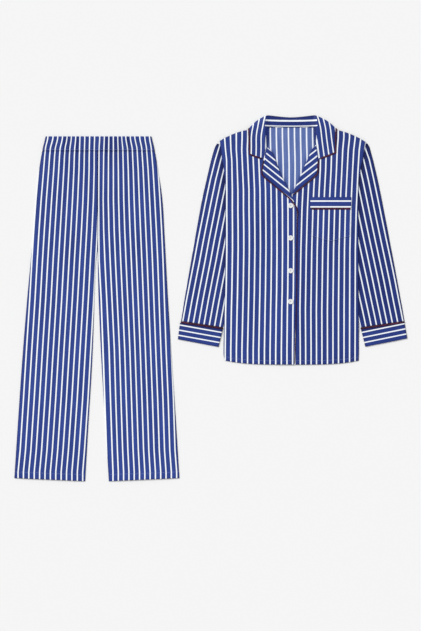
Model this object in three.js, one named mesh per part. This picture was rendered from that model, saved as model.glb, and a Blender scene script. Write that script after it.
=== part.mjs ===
// A striped pyjama set laid flat: a jacket with a notched collar and straight trousers with an
// elastic waist. Millimetres, +Z up. The set lies front up on z = 0 with its necks towards +Y.
// "right" and "left" are the wearer's, so each right side is at the lower X.
import * as THREE from "three";

// Driving dimensions
const CLOTH = 1.0; // wall of a single layer
const DOUBLE = 1.5; // wall where the cloth is folded double
const GAP = 0.4; // between pieces at a seam and between layers
const LAYER = CLOTH + GAP;
const RIM = 0.4; // how far a wall's upper rim is drawn in
const PIPING = { wide: 3.2, high: 1.8 };
const PIPING_OUT = GAP + PIPING.wide / 2; // from a cloth edge to the middle of its piping

// Where each garment's own origin lies: the centre line at its highest point
const TROUSERS = { x: -328, y: 469.5 };
const JACKET = { x: 234.6, y: 530.8 };

// Trousers: half widths from the centre line, by the distance down from the waist
const BAND_HEIGHT = 41.4;
const BAND_STEPS = [0, 0.15, 0.5, 0.85, 1]; // fractions of its height
const BAND_SWELL = [0.25, 1, 1, 1, 0.25]; // how much of the gathers shows at each
const CROTCH_DOWN = 328;
const LEG_END = 991;
const HALF_SEAM = 0.3; // from the centre line to each leg's cloth
const LEG_LOFT = { rise: 1.6, start: -30, length: 90 };
const HEM_SLOPE = { by: 9, power: 4 }; // the hem runs this much lower at the inside leg
const OUTSEAM = [
  { down: 0, right: 151, left: 155 },
  { down: 42, right: 161, left: 165 },
  { down: 97, right: 170, left: 174.5 },
  { down: 184, right: 179, left: 187 },
  { down: 300, right: 188.5, left: 194 },
  { down: 474, right: 205, left: 203.5 },
  { down: 648, right: 219, left: 214.5 },
  { down: 822, right: 231, left: 226 },
  { down: LEG_END, right: 242, left: 236.5 },
];
const INSEAM = [
  { down: CROTCH_DOWN, right: 0.5, left: 0.5 },
  { down: 358, right: 5, left: 0.3 },
  { down: 387, right: 7.3, left: 0.4 },
  { down: 474, right: 10.2, left: 2.6 },
  { down: 648, right: 16.5, left: 10.4 },
  { down: 822, right: 27, left: 21.5 },
  { down: LEG_END, right: 37, left: 32 },
];
const LEG_DOWNS = [42, 58, 80, 110, 150, 200, 260, CROTCH_DOWN, 343, 358, 387, 430, 474, 560, 648,
  735, 822, 910, LEG_END];

// Gathers that the elastic draws up, from the outside seam (0) to the centre seam (1)
const GATHERS = {
  right: [
    { at: 0.18, rise: 0.7, reach: 60 },
    { at: 0.36, rise: 1.0, reach: 95 },
    { at: 0.47, rise: 0.8, reach: 50 },
    { at: 0.6, rise: 1.1, reach: 110 },
    { at: 0.71, rise: 0.7, reach: 60 },
    { at: 0.88, rise: 0.9, reach: 80 },
  ],
  left: [
    { at: 0.17, rise: 0.8, reach: 70 },
    { at: 0.32, rise: 0.6, reach: 50 },
    { at: 0.47, rise: 1.0, reach: 100 },
    { at: 0.57, rise: 0.8, reach: 60 },
    { at: 0.68, rise: 1.1, reach: 90 },
    { at: 0.78, rise: 0.7, reach: 50 },
    { at: 0.88, rise: 0.9, reach: 75 },
  ],
};
const GATHER_WIDTH = 0.035; // half width of a gather, as a fraction of the panel
const SIGN = { right: -1, left: 1 };

// Jacket body: half widths from the centre line, by the distance down from the collar's top
const BODY_LOFT = 0.8;
const BODY_HALF = 195;
const NECK = { half: 66, down: 34.5, middle: -2 };
const SHOULDER = [
  { across: 66, down: 36 },
  { across: 118, down: 42.5 },
  { across: 130, down: 43.5 },
  { across: 145, down: 47 },
  { across: 164, down: 53.3 },
  { across: 182.5, down: 61 },
  { across: 198, down: 68.5 },
  { across: 213, down: 77 },
];
const SIDE_TOP = 77;
const SIDE_END = 711;
const SIDE = [
  { down: SIDE_TOP, right: 211, left: 214 },
  { down: 92, right: 207, left: 212.5 },
  { down: 104, right: 204.5, left: 209.5 },
  { down: 130, right: 202.5, left: 206 },
  { down: 147, right: 198.5, left: 201 },
  { down: 188, right: 194, left: 194.5 },
  { down: 206, right: 192.5, left: 193 },
  { down: 390, right: 193, left: 192.5 },
  { down: 565, right: 195, left: 193.5 },
  { down: 690, right: 198, left: 194.5 },
  { down: SIDE_END, right: 194.5, left: 193.5 },
];
const HEM = { down: 723.3, rise: 12, power: 3.5 }; // the hem curves up towards the sides
// Inner edge of each front: neckline, roll line of the lapel, then the front edge
const FRONT_END = 723;
const RIGHT_FRONT = [
  { down: 36, across: -67.5 },
  { down: 48, across: -66.5 },
  { down: 72, across: -68 },
  { down: 92, across: -71 },
  { down: 109, across: -57 },
  { down: 141, across: -45 },
  { down: 166, across: -35.5 },
  { down: 198, across: -19.5 },
  { down: 227, across: -4.5 },
  { down: 267, across: 12.2 },
  { down: 281, across: 14.4 },
  { down: 362, across: 12.9 },
  { down: 536, across: 11.8 },
  { down: 666, across: 8.3 },
  { down: FRONT_END, across: 5.7 },
];
const LEFT_FRONT = [
  { down: 36, across: 64 },
  { down: 48, across: 62.5 },
  { down: 72, across: 65 },
  { down: 87, across: 70.5 },
  { down: 98, across: 60 },
  { down: 122, across: 49.5 },
  { down: 154, across: 35 },
  { down: 184, across: 23 },
  { down: 217, across: 7 },
  { down: 234, across: -1.5 },
  { down: 250, across: -10 },
  { down: 281, across: -24.5 },
  { down: 536, across: -24 },
  { down: FRONT_END, across: -27 },
];
const FRONT_DOWNS = [36, 48, 60, 76, 92, 109, 125, 141, 154, 166, 184, 198, 217, 234, 250, 267, 281,
  362, 450, 536, 590, 620, 645, 670, 695, FRONT_END];
const FRONT_COLUMNS = [0, 0.1, 0.22, 0.34, 0.46, 0.58, 0.69, 0.79, 0.9, 1]; // side seam to front edge
const OVERLAP_RISE = { before: 45, length: 30 }; // where the right front climbs on to the left one
const BACK_DOWNS = [36, 48, 62, 76, 92, 110, 141, 175, 210, 250, 290, 350, 420, 500, 565, 590, 615,
  640, 665, 690, FRONT_END];
const BACK_COLUMNS = [0, 0.06, 0.12, 0.18, 0.24, 0.29, 0.339, 0.42, 0.49, 0.57, 0.65, 0.7, 0.75, 0.81,
  0.87, 0.93, 1];

// Sleeves: the edge that shows and the edge tucked behind the body, cap to cuff seam
const SLEEVE = [
  { down: 82, right: 217, left: 219, innerDown: 84, inner: 211 },
  { down: 92, right: 222.5, left: 225, innerDown: 98, inner: 188 },
  { down: 110, right: 228.5, left: 230, innerDown: 124, inner: 162 },
  { down: 140, right: 236.5, left: 238, innerDown: 160, inner: 138 },
  { down: 188, right: 247.5, left: 249, innerDown: 210, inner: 120 },
  { down: 246, right: 260.5, left: 261, innerDown: 268, inner: 116 },
  { down: 320, right: 274, left: 275.5, innerDown: 341, inner: 128 },
  { down: 400, right: 288, left: 290.5, innerDown: 420, inner: 146 },
  { down: 480, right: 302, left: 305.5, innerDown: 499, inner: 166 },
  { down: 545, right: 313, left: 317.5, innerDown: 563, inner: 184 },
  { down: 596, right: 321, left: 326.5, innerDown: 614, inner: 200 },
];
const SLEEVE_COLUMNS = [0, 0.12, 0.25, 0.4, 0.55, 0.75, 1];
const SLEEVE_LOFT = 1.0;
const CAP_LENGTH = 100; // the loft grows over this length from the cap
const TUCK_RISE = 2 * LAYER; // a sleeve's two walls under the body
const TUCK_MARGIN = 8; // how far past the tucked edge the back stays level
const TUCK_SLOPE = 80; // length of the slope from there down to the floor
const TUCK_END = { down: 592, length: 70 }; // below it the side drops to the floor
const CUFF = {
  right: { top: [-322, 601, -200, 619.4], end: [-328, 649.5, -212, 671.5] },
  left: { top: [327.5, 601, 200.5, 619.4], end: [335.5, 647, 213, 670.5] },
};
const CUFF_STEPS = [0, 0.5, 1];
const CUFF_COLUMNS = [0, 0.2, 0.5, 0.8, 1];
const CUFF_PIPING_COLUMNS = [0.25, 0.5, 0.75];
// Half circle at each end of the cuff's piping: fractions of its radius and of its height
const CUFF_PIPING_END = [
  { out: 0.3, up: 0.7 },
  { out: 1, up: 0.5 },
  { out: 0.3, up: 0.3 },
];

// Lapels: stations from the gorge down, each from the roll line to the cloth edge
const LAPEL_COLUMNS = [0, 0.3, 0.65, 1];
const RIGHT_LAPEL = [
  { roll: [-70.2, 95], edge: [-78.4, 127.6] },
  { roll: [-64, 101.5], edge: [-81.2, 140] },
  { roll: [-57, 109], edge: [-84, 152] },
  { roll: [-50.5, 125], edge: [-85.2, 164] },
  { roll: [-45, 141], edge: [-84.2, 172] },
  { roll: [-40, 154], edge: [-79.5, 177.6] },
  { roll: [-35.5, 166], edge: [-67, 188.5] },
  { roll: [-28, 182], edge: [-50, 202.5] },
  { roll: [-19.5, 198], edge: [-34, 215.8] },
  { roll: [-12, 212.5], edge: [-19, 228.5] },
  { roll: [-4.5, 227], edge: [-7, 238.6] },
  { roll: [3.6, 246], edge: [1.4, 246.8] },
  { roll: [6.8, 253.6], edge: [5.6, 254] },
];
const LEFT_LAPEL = [
  { roll: [69.6, 90.5], edge: [75, 125] },
  { roll: [65, 94], edge: [74.8, 137.5] },
  { roll: [60, 98], edge: [74.4, 149] },
  { roll: [54.5, 110], edge: [73.8, 160.5] },
  { roll: [49.5, 122], edge: [72.4, 169] },
  { roll: [44.5, 133], edge: [67.5, 174.8] },
  { roll: [40, 143], edge: [56, 185.2] },
  { roll: [35, 154], edge: [45, 194] },
  { roll: [29, 169.5], edge: [34, 202.9] },
  { roll: [23, 184], edge: [24.4, 211] },
  { roll: [15, 200.7], edge: [15.5, 218.4] },
  { roll: [7, 217], edge: [7.6, 224.8] },
  { roll: [2.2, 227], edge: [2.8, 229.5] },
];
const LAPEL = { right: RIGHT_LAPEL, left: LEFT_LAPEL };
const GORGE_START = 0.3; // the lapel's piping starts this far along its first station
// From the lapel's end the piping crosses the roll line on to the front edge
const PIPING_TURN = [[7.4, 258.5], [10.6, 263.5], [14.2, 270.5], [16.3, 279]];
const EDGE_PIPING = { start: 300, end: 721.5 };

// Collar: stations from the notch over the shoulder to the middle of the back. roll is the fold,
// edge the cloth's outer edge and neck the seam; over is 1 on the fronts and 0 under the back.
// lift raises the roll, bow pushes the fall outwards and the values named left are the left side's.
const COLLAR = [
  { roll: [-83.2, 125.5], rollLeft: 80.4, edge: [-112.8, 114], edgeLeft: 116,
    neck: [-81, 126.2], neckLeft: 78.2, over: 1, lift: 0.2, bow: 0 },
  { roll: [-81.3, 117.5], rollLeft: 79.2, edge: [-117.7, 108], edgeLeft: 120.4,
    neck: [-79, 118], neckLeft: 77, over: 1, lift: 0.5, bow: 0 },
  { roll: [-78.8, 106], rollLeft: 77.8, edge: [-119.5, 99], edgeLeft: 121.5,
    neck: [-76.3, 106.4], neckLeft: 75.4, over: 1, lift: 1, bow: 0 },
  { roll: [-76, 93.5], rollLeft: 76, edge: [-120.4, 86], edgeLeft: 122.7,
    neck: [-72.2, 93.5], neckLeft: 72.6, over: 1, lift: 2, bow: 0 },
  { roll: [-77.6, 79], rollLeft: 73.6, edge: [-121.2, 73], edgeLeft: 123.8,
    neck: [-69.6, 78], over: 1, lift: 2.8, bow: 0 },
  { roll: [-78.6, 63], rollLeft: 74.4, edge: [-122.1, 61], edgeLeft: 124.7,
    neck: [-67.8, 63], over: 1, lift: 3.2, bow: 0 },
  { roll: [-78.6, 47], rollLeft: 74.4, edge: [-122.4, 51.3], edgeLeft: 125.6,
    neck: [-67, 52], over: 1, lift: 3.2, bow: 0.3 },
  { roll: [-78, 31], rollLeft: 74, edge: [-122.7, 45.4], edgeLeft: 126.2,
    neck: [-66.6, 43], over: 1, lift: 3, bow: 0.8 },
  { roll: [-76.9, 16.5], rollLeft: 73, edge: [-122.9, 41], edgeLeft: 126.4,
    neck: [-66, 37.6], over: 1, lift: 2.4, bow: 2 },
  { roll: [-75.1, 6.5], rollLeft: 71.3, edge: [-123, 38.4], edgeLeft: 126.6,
    neck: [-64.5, 34.6], over: 0.8, lift: 1.6, bow: 3.6 },
  { roll: [-72.8, 1.4], rollLeft: 69, edge: [-123, 37.4], edgeLeft: 126.6,
    neck: [-61.5, 33.6], over: 0.45, lift: 0.8, bow: 4.4 },
  { roll: [-69.3, 0.5], rollLeft: 65.4, edge: [-121.4, 39.2], edgeLeft: 125,
    neck: [-57.5, 33.4], over: 0.12, lift: 0, bow: 3.6 },
  { roll: [-63.5, 0.5], rollLeft: 59.6, edge: [-114.5, 44], edgeLeft: 117.5,
    neck: [-52.5, 33.4], over: 0, lift: 0, bow: 2 },
  { roll: [-54.8, 1], rollLeft: 51, edge: [-99.5, 48.6], edgeLeft: 101,
    neck: [-45, 33.4], over: 0, lift: 0, bow: 0.6 },
  { roll: [-42, 2], rollLeft: 38, edge: [-72.5, 50.2], edgeLeft: 70,
    neck: [-34.8, 33.4], over: 0, lift: 0, bow: 0 },
  { roll: [-23.2, 3.5], rollLeft: 19.2, edge: [-36.3, 50.8], edgeLeft: 33,
    neck: [-20.3, 33.7], over: 0, lift: 0, bow: 0 },
  { roll: [-2, 4.4], rollLeft: -2, edge: [-2, 51], edgeLeft: -2,
    neck: [-2, 33.9], over: 0, lift: 0, bow: 0 },
];
const STAND_STEPS = [1, 0.5, 0.12, 0.025]; // fractions of the stand, neck seam to roll
const FALL_STEPS = [0, 0.02, 0.1, 0.3, 0.55, 0.8, 1]; // fractions of the fall, roll to edge
const ROLL_RADIUS = 0.7;
const WING_STEPS = [0.06, 0.5, 0.9]; // fractions of the fall along a wing's lower edge
const CORNER_REACH = 0.8; // how far the piping goes out past a wing's corner, in each direction
const COLLAR_RISE = PIPING.high + GAP; // the fall and its piping under the back
const COLLAR_SLOPE = { down: 58, length: 52, half: 130, side: 40 };
const STAND_HEIGHT = { roll: 2.0, neck: 2.7 }; // middle of the stand's wall at the back

// Pocket on the left front, and the buttons down the right front
const POCKET = { from: 56.6, to: 169.7, top: 273, bottom: 351.5, point: 15 };
const POCKET_BAND = { from: 53.7, to: 172.3, top: 237.5, bottom: 268.6 };
const POCKET_PIPING = { from: 54.7, to: 171.3, down: 270.8 };
const POCKET_COLUMNS = [0, 0.25, 0.5, 0.75, 1];
const POCKET_ROWS = [0, 0.3, 0.65, 1];
const POCKET_BAND_ROWS = [0, 0.5, 1];
const BUTTON_ACROSS = -3.5;
const BUTTON_DOWNS = [262, 356, 451, 540.5];
const BUTTON_SEGMENTS = 14;
const BUTTON_SEAT = 0.3;
const BUTTON_PROFILE = [
  { radius: 0, height: 0 },
  { radius: 7.1, height: 0 },
  { radius: 7.7, height: 0.8 },
  { radius: 7.3, height: 2.3 },
  { radius: 6.3, height: 2.8 },
  { radius: 4.9, height: 2.1 },
  { radius: 0, height: 1.9 },
];

const LOOKS = {
  blue: { color: 0x4a58a0, roughness: 0.62, metalness: 0 },
  maroon: { color: 0x4a1a2c, roughness: 0.5, metalness: 0 },
  white: { color: 0xf4f2ec, roughness: 0.3, metalness: 0 },
};

const set = new THREE.Group();

const mix = (a, b, t) => a + (b - a) * t;
const mixPoint = (a, b, t) => a.map((value, i) => mix(value, b[i], t));
const clamp = (t, low = 0, high = 1) => Math.min(high, Math.max(low, t));
const ease = (t) => clamp(t) ** 2 * (3 - 2 * clamp(t));

// Value of a table at any point: cubic pieces whose slopes come from the neighbouring rows
function curve(rows, from, to) {
  const at = rows.map((row) => row[from]);
  const value = rows.map((row) => row[to]);
  const last = rows.length - 1;
  const slope = at.map((_, i) => {
    const before = Math.max(0, i - 1);
    const after = Math.min(last, i + 1);
    return (value[after] - value[before]) / (at[after] - at[before]);
  });
  return (place) => {
    let i = 0;
    while (i < last - 1 && place > at[i + 1]) i += 1;
    const step = at[i + 1] - at[i];
    const t = clamp((place - at[i]) / step);
    const bend = t * (1 - t) * step * (slope[i] * (1 - t) - slope[i + 1] * t);
    return mix(value[i], value[i + 1], ease(t)) + bend;
  };
}

// Straight pieces between the rows, for lines with real corners
function polyline(rows, from, to) {
  return (place) => {
    let i = 0;
    while (i < rows.length - 2 && place > rows[i + 1][from]) i += 1;
    const t = clamp((place - rows[i][from]) / (rows[i + 1][from] - rows[i][from]));
    return mix(rows[i][to], rows[i + 1][to], t);
  };
}

// Adds a closed body made of four-sided faces, turned so that they point out
function addBody(name, points, faces, look) {
  const corners = faces.flatMap(([a, b, c, d]) => [a, b, c, a, c, d]);
  let volume = 0;
  for (let i = 0; i < corners.length; i += 3) {
    const [p, q, r] = corners.slice(i, i + 3).map((k) => new THREE.Vector3(...points[k]));
    volume += p.dot(q.cross(r));
  }
  if (volume < 0) corners.reverse();
  const geometry = new THREE.BufferGeometry();
  geometry.setAttribute("position", new THREE.Float32BufferAttribute(points.flat(), 3));
  geometry.setIndex(corners);
  geometry.computeVertexNormals();
  addMesh(name, geometry, look);
}

function addMesh(name, geometry, look) {
  const mesh = new THREE.Mesh(geometry, new THREE.MeshStandardMaterial(LOOKS[look]));
  mesh.name = name;
  set.add(mesh);
  return mesh;
}

// Wall between two grids of points of the same size
function addWall(name, lower, upper, look) {
  const rows = lower.length;
  const columns = lower[0].length;
  const points = [...lower.flat(), ...upper.flat()];
  const low = (i, j) => i * columns + j;
  const high = (i, j) => low(i, j) + rows * columns;
  const faces = [];
  for (let i = 0; i < rows - 1; i += 1) {
    for (let j = 0; j < columns - 1; j += 1) {
      faces.push([low(i, j), low(i, j + 1), low(i + 1, j + 1), low(i + 1, j)]);
      faces.push([high(i, j), high(i + 1, j), high(i + 1, j + 1), high(i, j + 1)]);
    }
    faces.push([low(i, 0), low(i + 1, 0), high(i + 1, 0), high(i, 0)]);
    const end = columns - 1;
    faces.push([low(i + 1, end), low(i, end), high(i, end), high(i + 1, end)]);
  }
  for (let j = 0; j < columns - 1; j += 1) {
    const end = rows - 1;
    faces.push([low(0, j + 1), low(0, j), high(0, j), high(0, j + 1)]);
    faces.push([low(end, j), low(end, j + 1), high(end, j + 1), high(end, j)]);
  }
  addBody(name, points, faces, look);
}

// Plan with its outline drawn in by RIM
function drawIn(plan) {
  return plan.map((row, i) =>
    row.map((point, j) => {
      const inside = plan[clamp(i, 1, plan.length - 2)][clamp(j, 1, row.length - 2)];
      const reach = Math.hypot(inside[0] - point[0], inside[1] - point[1]);
      return reach === 0 ? point : mixPoint(point, inside, Math.min(0.5, RIM / reach));
    })
  );
}

// Panel that rests on height(x, y, row, column). plan holds rows of [x, y].
function addPanel(name, plan, height, wall, look) {
  const raise = (grid, by) => grid.map((row, i) => row.map(([x, y], j) => [x, y, height(x, y, i, j) + by]));
  addWall(name, raise(plan, 0), raise(drawIn(plan), wall), look);
}

// Flattened tube through stations, each from edge a to edge b. columns are fractions across the
// front wall; lift(t, k) raises the front's outside and inside at column t of station k.
const EDGE_TURN = 0.6; // how far a tube's edge is rounded, as a fraction of its wall
function addTube(name, stations, columns, wall, lift, look) {
  const height = 2 * wall + GAP;
  const loop = (station, k, depth, low, high, side) => {
    const width = Math.hypot(station.b[0] - station.a[0], station.b[1] - station.a[1]);
    const at = (t, z, inset) => {
      const share = clamp(t, inset / width, 1 - inset / width);
      return [...mixPoint(station.a, station.b, share), z];
    };
    const turn = depth + EDGE_TURN * wall;
    const back = [at(0, height / 2, depth), at(0, low, turn), at(1, low, turn), at(1, height / 2, depth)];
    const front = columns.map((t) => at(t, high + lift(t, k)[side], turn));
    return [...back, ...front.reverse()];
  };
  const outer = stations.map((station, k) => loop(station, k, 0, 0, height, 0));
  const inner = stations.map((station, k) => loop(station, k, wall, wall, wall + GAP, 1));
  const count = outer[0].length;
  const last = stations.length - 1;
  const points = [...outer.flat(), ...inner.flat()];
  const out = (k, i) => k * count + (i % count);
  const into = (k, i) => out(k, i) + (last + 1) * count;
  const faces = [];
  for (let i = 0; i < count; i += 1) {
    for (let k = 0; k < last; k += 1) {
      faces.push([out(k, i), out(k, i + 1), out(k + 1, i + 1), out(k + 1, i)]);
      faces.push([into(k, i), into(k + 1, i), into(k + 1, i + 1), into(k, i + 1)]);
    }
    faces.push([out(0, i), into(0, i), into(0, i + 1), out(0, i + 1)]);
    faces.push([out(last, i), out(last, i + 1), into(last, i + 1), into(last, i)]);
  }
  addBody(name, points, faces, look);
}

// Piping along a path of [x, y, z]: a six-sided oval, flat side along sideways(k)
const OVAL = [0, 60, 120, 180, 240, 300].map((angle) => THREE.MathUtils.degToRad(angle + 30));
function addPiping(name, path, sideways, closed = false) {
  const last = path.length - 1;
  const rings = path.map((centre, k) => {
    const before = path[closed ? (k + last) % (last + 1) : Math.max(0, k - 1)];
    const after = path[closed ? (k + 1) % (last + 1) : Math.min(last, k + 1)];
    const along = new THREE.Vector3(...after).sub(new THREE.Vector3(...before)).normalize();
    const wide = sideways(k, along).normalize();
    const tall = new THREE.Vector3().crossVectors(wide, along).normalize();
    return OVAL.map((angle) =>
      new THREE.Vector3(...centre)
        .addScaledVector(wide, (PIPING.wide / 2) * Math.cos(angle) / Math.cos(Math.PI / 6))
        .addScaledVector(tall, (PIPING.high / 2) * Math.sin(angle))
        .toArray()
    );
  });
  const count = OVAL.length;
  const at = (k, i) => (k % (last + 1)) * count + (i % count);
  const faces = [];
  for (let k = 0; k < (closed ? last + 1 : last); k += 1) {
    for (let i = 0; i < count; i += 1) {
      faces.push([at(k, i), at(k + 1, i), at(k + 1, i + 1), at(k, i + 1)]);
    }
  }
  if (!closed) {
    for (const k of [0, last]) {
      const cap = [[0, 1, 2, 3], [3, 4, 5, 0]].map((face) => face.map((i) => at(k, i)));
      faces.push(...(k === 0 ? cap : cap.map((face) => face.reverse())));
    }
  }
  addBody(name, rings.flat(), faces, "maroon");
}
const LEVEL = (_, along) => new THREE.Vector3(along.y, -along.x, 0);

// Points of a path in plan, moved sideways by distance to the right of the way it runs
function beside(path, distance) {
  return path.map((point, k) => {
    const before = path[Math.max(0, k - 1)];
    const after = path[Math.min(path.length - 1, k + 1)];
    const run = Math.hypot(after[0] - before[0], after[1] - before[1]);
    return [
      point[0] - (distance * (after[1] - before[1])) / run,
      point[1] + (distance * (after[0] - before[0])) / run,
    ];
  });
}

// Trousers

const trouserPoint = ([across, down]) => [TROUSERS.x + across, TROUSERS.y - down];

// Height that the gathers add at fraction t across a front, below the band's seam
function gather(side, t, below) {
  return GATHERS[side].reduce((sum, { at, rise, reach }) => {
    const shape = Math.exp(-(((t - at) / GATHER_WIDTH) ** 2));
    return sum + rise * shape * (1 - ease(below / reach));
  }, 0);
}

// Columns on each gather's crest and in the valleys between
function gatherColumns(side) {
  const crests = GATHERS[side].map((row) => row.at);
  const stops = [0, ...crests, 1];
  const valleys = stops.slice(1).map((stop, i) => (stop + stops[i]) / 2);
  return [...stops, ...valleys].sort((a, b) => a - b);
}

function legPlan(side, columns) {
  const sign = SIGN[side];
  const outside = curve(OUTSEAM, "down", side);
  const inside = curve(INSEAM, "down", side);
  return LEG_DOWNS.map((down) =>
    columns.map((t) => {
      const inner = down < CROTCH_DOWN ? HALF_SEAM : inside(down);
      const slope = HEM_SLOPE.by * t * (down / LEG_END) ** HEM_SLOPE.power;
      return [sign * mix(outside(down), inner, t), down + slope];
    })
  );
}

function addLegs(side) {
  const columns = gatherColumns(side);
  const height = (x, y, i, j) => {
    const below = LEG_DOWNS[i] - LEG_DOWNS[0];
    const full = ease((below - LEG_LOFT.start) / LEG_LOFT.length);
    const loft = LEG_LOFT.rise * (1 - (2 * columns[j] - 1) ** 4) * full;
    return LAYER + loft + gather(side, columns[j], below);
  };
  const plan = (across) => legPlan(side, across).map((row) => row.map(trouserPoint));
  addPanel("trouser_front_" + side, plan(columns), height, CLOTH, "blue");
  addPanel("trouser_back_" + side, plan([0, 0.5, 1]), () => 0, CLOTH, "blue");
}

function addWaistband() {
  const right = curve(OUTSEAM, "down", "right");
  const left = curve(OUTSEAM, "down", "left");
  const stations = BAND_STEPS.map((step) => step * BAND_HEIGHT).map((down) => ({
    a: trouserPoint([-right(down), down]),
    b: trouserPoint([left(down), down]),
  }));
  const share = right(0) / (right(0) + left(0));
  const columns = [
    ...gatherColumns("right").map((t) => t * share),
    ...gatherColumns("left").map((t) => 1 - t * (1 - share)).reverse().slice(1),
  ];
  const lift = (t, k) => {
    const side = t < share ? "right" : "left";
    const across = t < share ? t / share : (1 - t) / (1 - share);
    return [BAND_SWELL[k] * gather(side, across, 0), 0];
  };
  addTube("waistband", stations, columns, DOUBLE, lift, "blue");
}

// Jacket body

const jacketPoint = ([across, down]) => [JACKET.x + across, JACKET.y - down];
const shoulderDown = curve(SHOULDER, "across", "down");
const hemDown = (across) => HEM.down - HEM.rise * (Math.abs(across) / BODY_HALF) ** HEM.power;
const sleeveInner = curve(SLEEVE, "innerDown", "inner");
const bodySide = { right: curve(SIDE, "down", "right"), left: curve(SIDE, "down", "left") };
const frontEdge = {
  right: polyline(RIGHT_FRONT, "down", "across"),
  left: polyline(LEFT_FRONT, "down", "across"),
};

// Underside of the back: over the tucked sleeves, over the collar's fall, and on the floor between
function backHeight(across, down) {
  const sleeve = 1 - ease((sleeveInner(down) - TUCK_MARGIN - Math.abs(across)) / TUCK_SLOPE);
  const drop = 1 - ease((down - TUCK_END.down) / TUCK_END.length);
  const fall = 1 - ease((down - COLLAR_SLOPE.down) / COLLAR_SLOPE.length);
  const near = 1 - ease((Math.abs(across - NECK.middle) - COLLAR_SLOPE.half) / COLLAR_SLOPE.side);
  return TUCK_RISE * sleeve * drop + COLLAR_RISE * fall * near;
}

// Underside of each front; the right front rises where it closes over the left one
function frontHeight(side, across, down) {
  const loft = BODY_LOFT * (1 - clamp(Math.abs(across) / BODY_HALF) ** 4);
  const past = across - frontEdge.left(down) + OVERLAP_RISE.before;
  const closing = side === "right" ? ease(past / OVERLAP_RISE.length) : 0;
  return backHeight(across, down) + LAYER * (1 + closing) + loft;
}
const frontTop = (side, across, down) => frontHeight(side, across, down) + CLOTH;

const onJacket = (height) => (x, y) => height(x - JACKET.x, JACKET.y - y);

// Rows run from the shoulder line to the hem and follow both
function bodyPlan(downs, columns, from, to) {
  const first = downs[0];
  const length = HEM.down - first;
  return downs.map((down) => {
    const share = (down - first) / length;
    const sideDown = mix(SIDE_TOP, SIDE_END, share);
    return columns.map((t) => {
      const across = mix(from(down, sideDown), to(down, sideDown), t);
      const top = mix(from(first, SIDE_TOP), to(first, SIDE_TOP), t);
      const start = Math.abs(top - NECK.middle) < NECK.half ? first : shoulderDown(Math.abs(top));
      return [across, mix(start, hemDown(across), share)];
    });
  });
}

function addBack() {
  const plan = bodyPlan(
    BACK_DOWNS,
    BACK_COLUMNS,
    (_, sideDown) => -bodySide.right(sideDown),
    (_, sideDown) => bodySide.left(sideDown)
  );
  addPanel("jacket_back", plan.map((row) => row.map(jacketPoint)), onJacket(backHeight), CLOTH, "blue");
}

function addFront(side) {
  const sign = SIGN[side];
  const plan = bodyPlan(
    FRONT_DOWNS,
    FRONT_COLUMNS,
    (_, sideDown) => sign * bodySide[side](sideDown),
    (down) => frontEdge[side](down)
  );
  const height = onJacket((across, down) => frontHeight(side, across, down));
  addPanel("jacket_front_" + side, plan.map((row) => row.map(jacketPoint)), height, CLOTH, "blue");
}

function addSleeve(side) {
  const sign = SIGN[side];
  const stations = SLEEVE.map((row) => ({
    a: jacketPoint([sign * row[side], row.down]),
    b: jacketPoint([sign * row.inner, row.innerDown]),
    shown: (row[side] - Math.max(row.inner, bodySide[side](row.down))) / (row[side] - row.inner),
  }));
  const lift = (t, k) => {
    const past = ease((SLEEVE[k].down - SLEEVE[0].down) / CAP_LENGTH);
    const rise = SLEEVE_LOFT * past * Math.sin(Math.PI * clamp(t / stations[k].shown));
    return [rise, rise];
  };
  addTube("sleeve_" + side, stations, SLEEVE_COLUMNS, CLOTH, lift, "blue");
}

function addCuff(side) {
  const { top, end } = CUFF[side];
  const stations = CUFF_STEPS.map((t) => {
    const [a, b, c, d] = mixPoint(top, end, t);
    return { a: jacketPoint([a, b]), b: jacketPoint([c, d]) };
  });
  addTube("cuff_" + side, stations, CUFF_COLUMNS, DOUBLE, () => [0, 0], "blue");
  addCuffPiping(side);
}

// Ring in the seam between sleeve and cuff, round both walls
function addCuffPiping(side) {
  const sleeveEnd = SLEEVE[SLEEVE.length - 1];
  const sign = SIGN[side];
  const [a, b, c, d] = CUFF[side].top;
  const outer = jacketPoint([mix(sign * sleeveEnd[side], a, 0.5), mix(sleeveEnd.down, b, 0.5)]);
  const inner = jacketPoint([mix(sign * sleeveEnd.inner, c, 0.5), mix(sleeveEnd.innerDown, d, 0.5)]);
  const low = PIPING.high / 2;
  const high = 3 * low + GAP;
  const width = Math.hypot(inner[0] - outer[0], inner[1] - outer[1]);
  const turn = (high - low) / 2 / width;
  const at = (t, z) => [...mixPoint(outer, inner, t), z];
  const straight = [2 * turn, ...CUFF_PIPING_COLUMNS, 1 - 2 * turn];
  const end = (t, way) => CUFF_PIPING_END.map(({ out, up }) => at(t + way * out * turn, mix(low, high, up)));
  const path = [
    ...[...straight].reverse().map((t) => at(t, high)),
    ...end(turn, -1),
    ...straight.map((t) => at(t, low)),
    ...end(1 - turn, 1).reverse(),
  ];
  const across = new THREE.Vector3(inner[1] - outer[1], outer[0] - inner[0], 0);
  addPiping("piping_cuff_" + side, path, () => across.clone(), true);
}

// Lapels, collar and their piping

function addLapel(side) {
  const plan = LAPEL[side].map((row) =>
    LAPEL_COLUMNS.map((t) => jacketPoint(mixPoint(row.roll, row.edge, t)))
  );
  const height = onJacket((across, down) => frontTop(side, across, down) + GAP);
  addPanel("lapel_" + side, plan, height, CLOTH, "blue");
}

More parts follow.
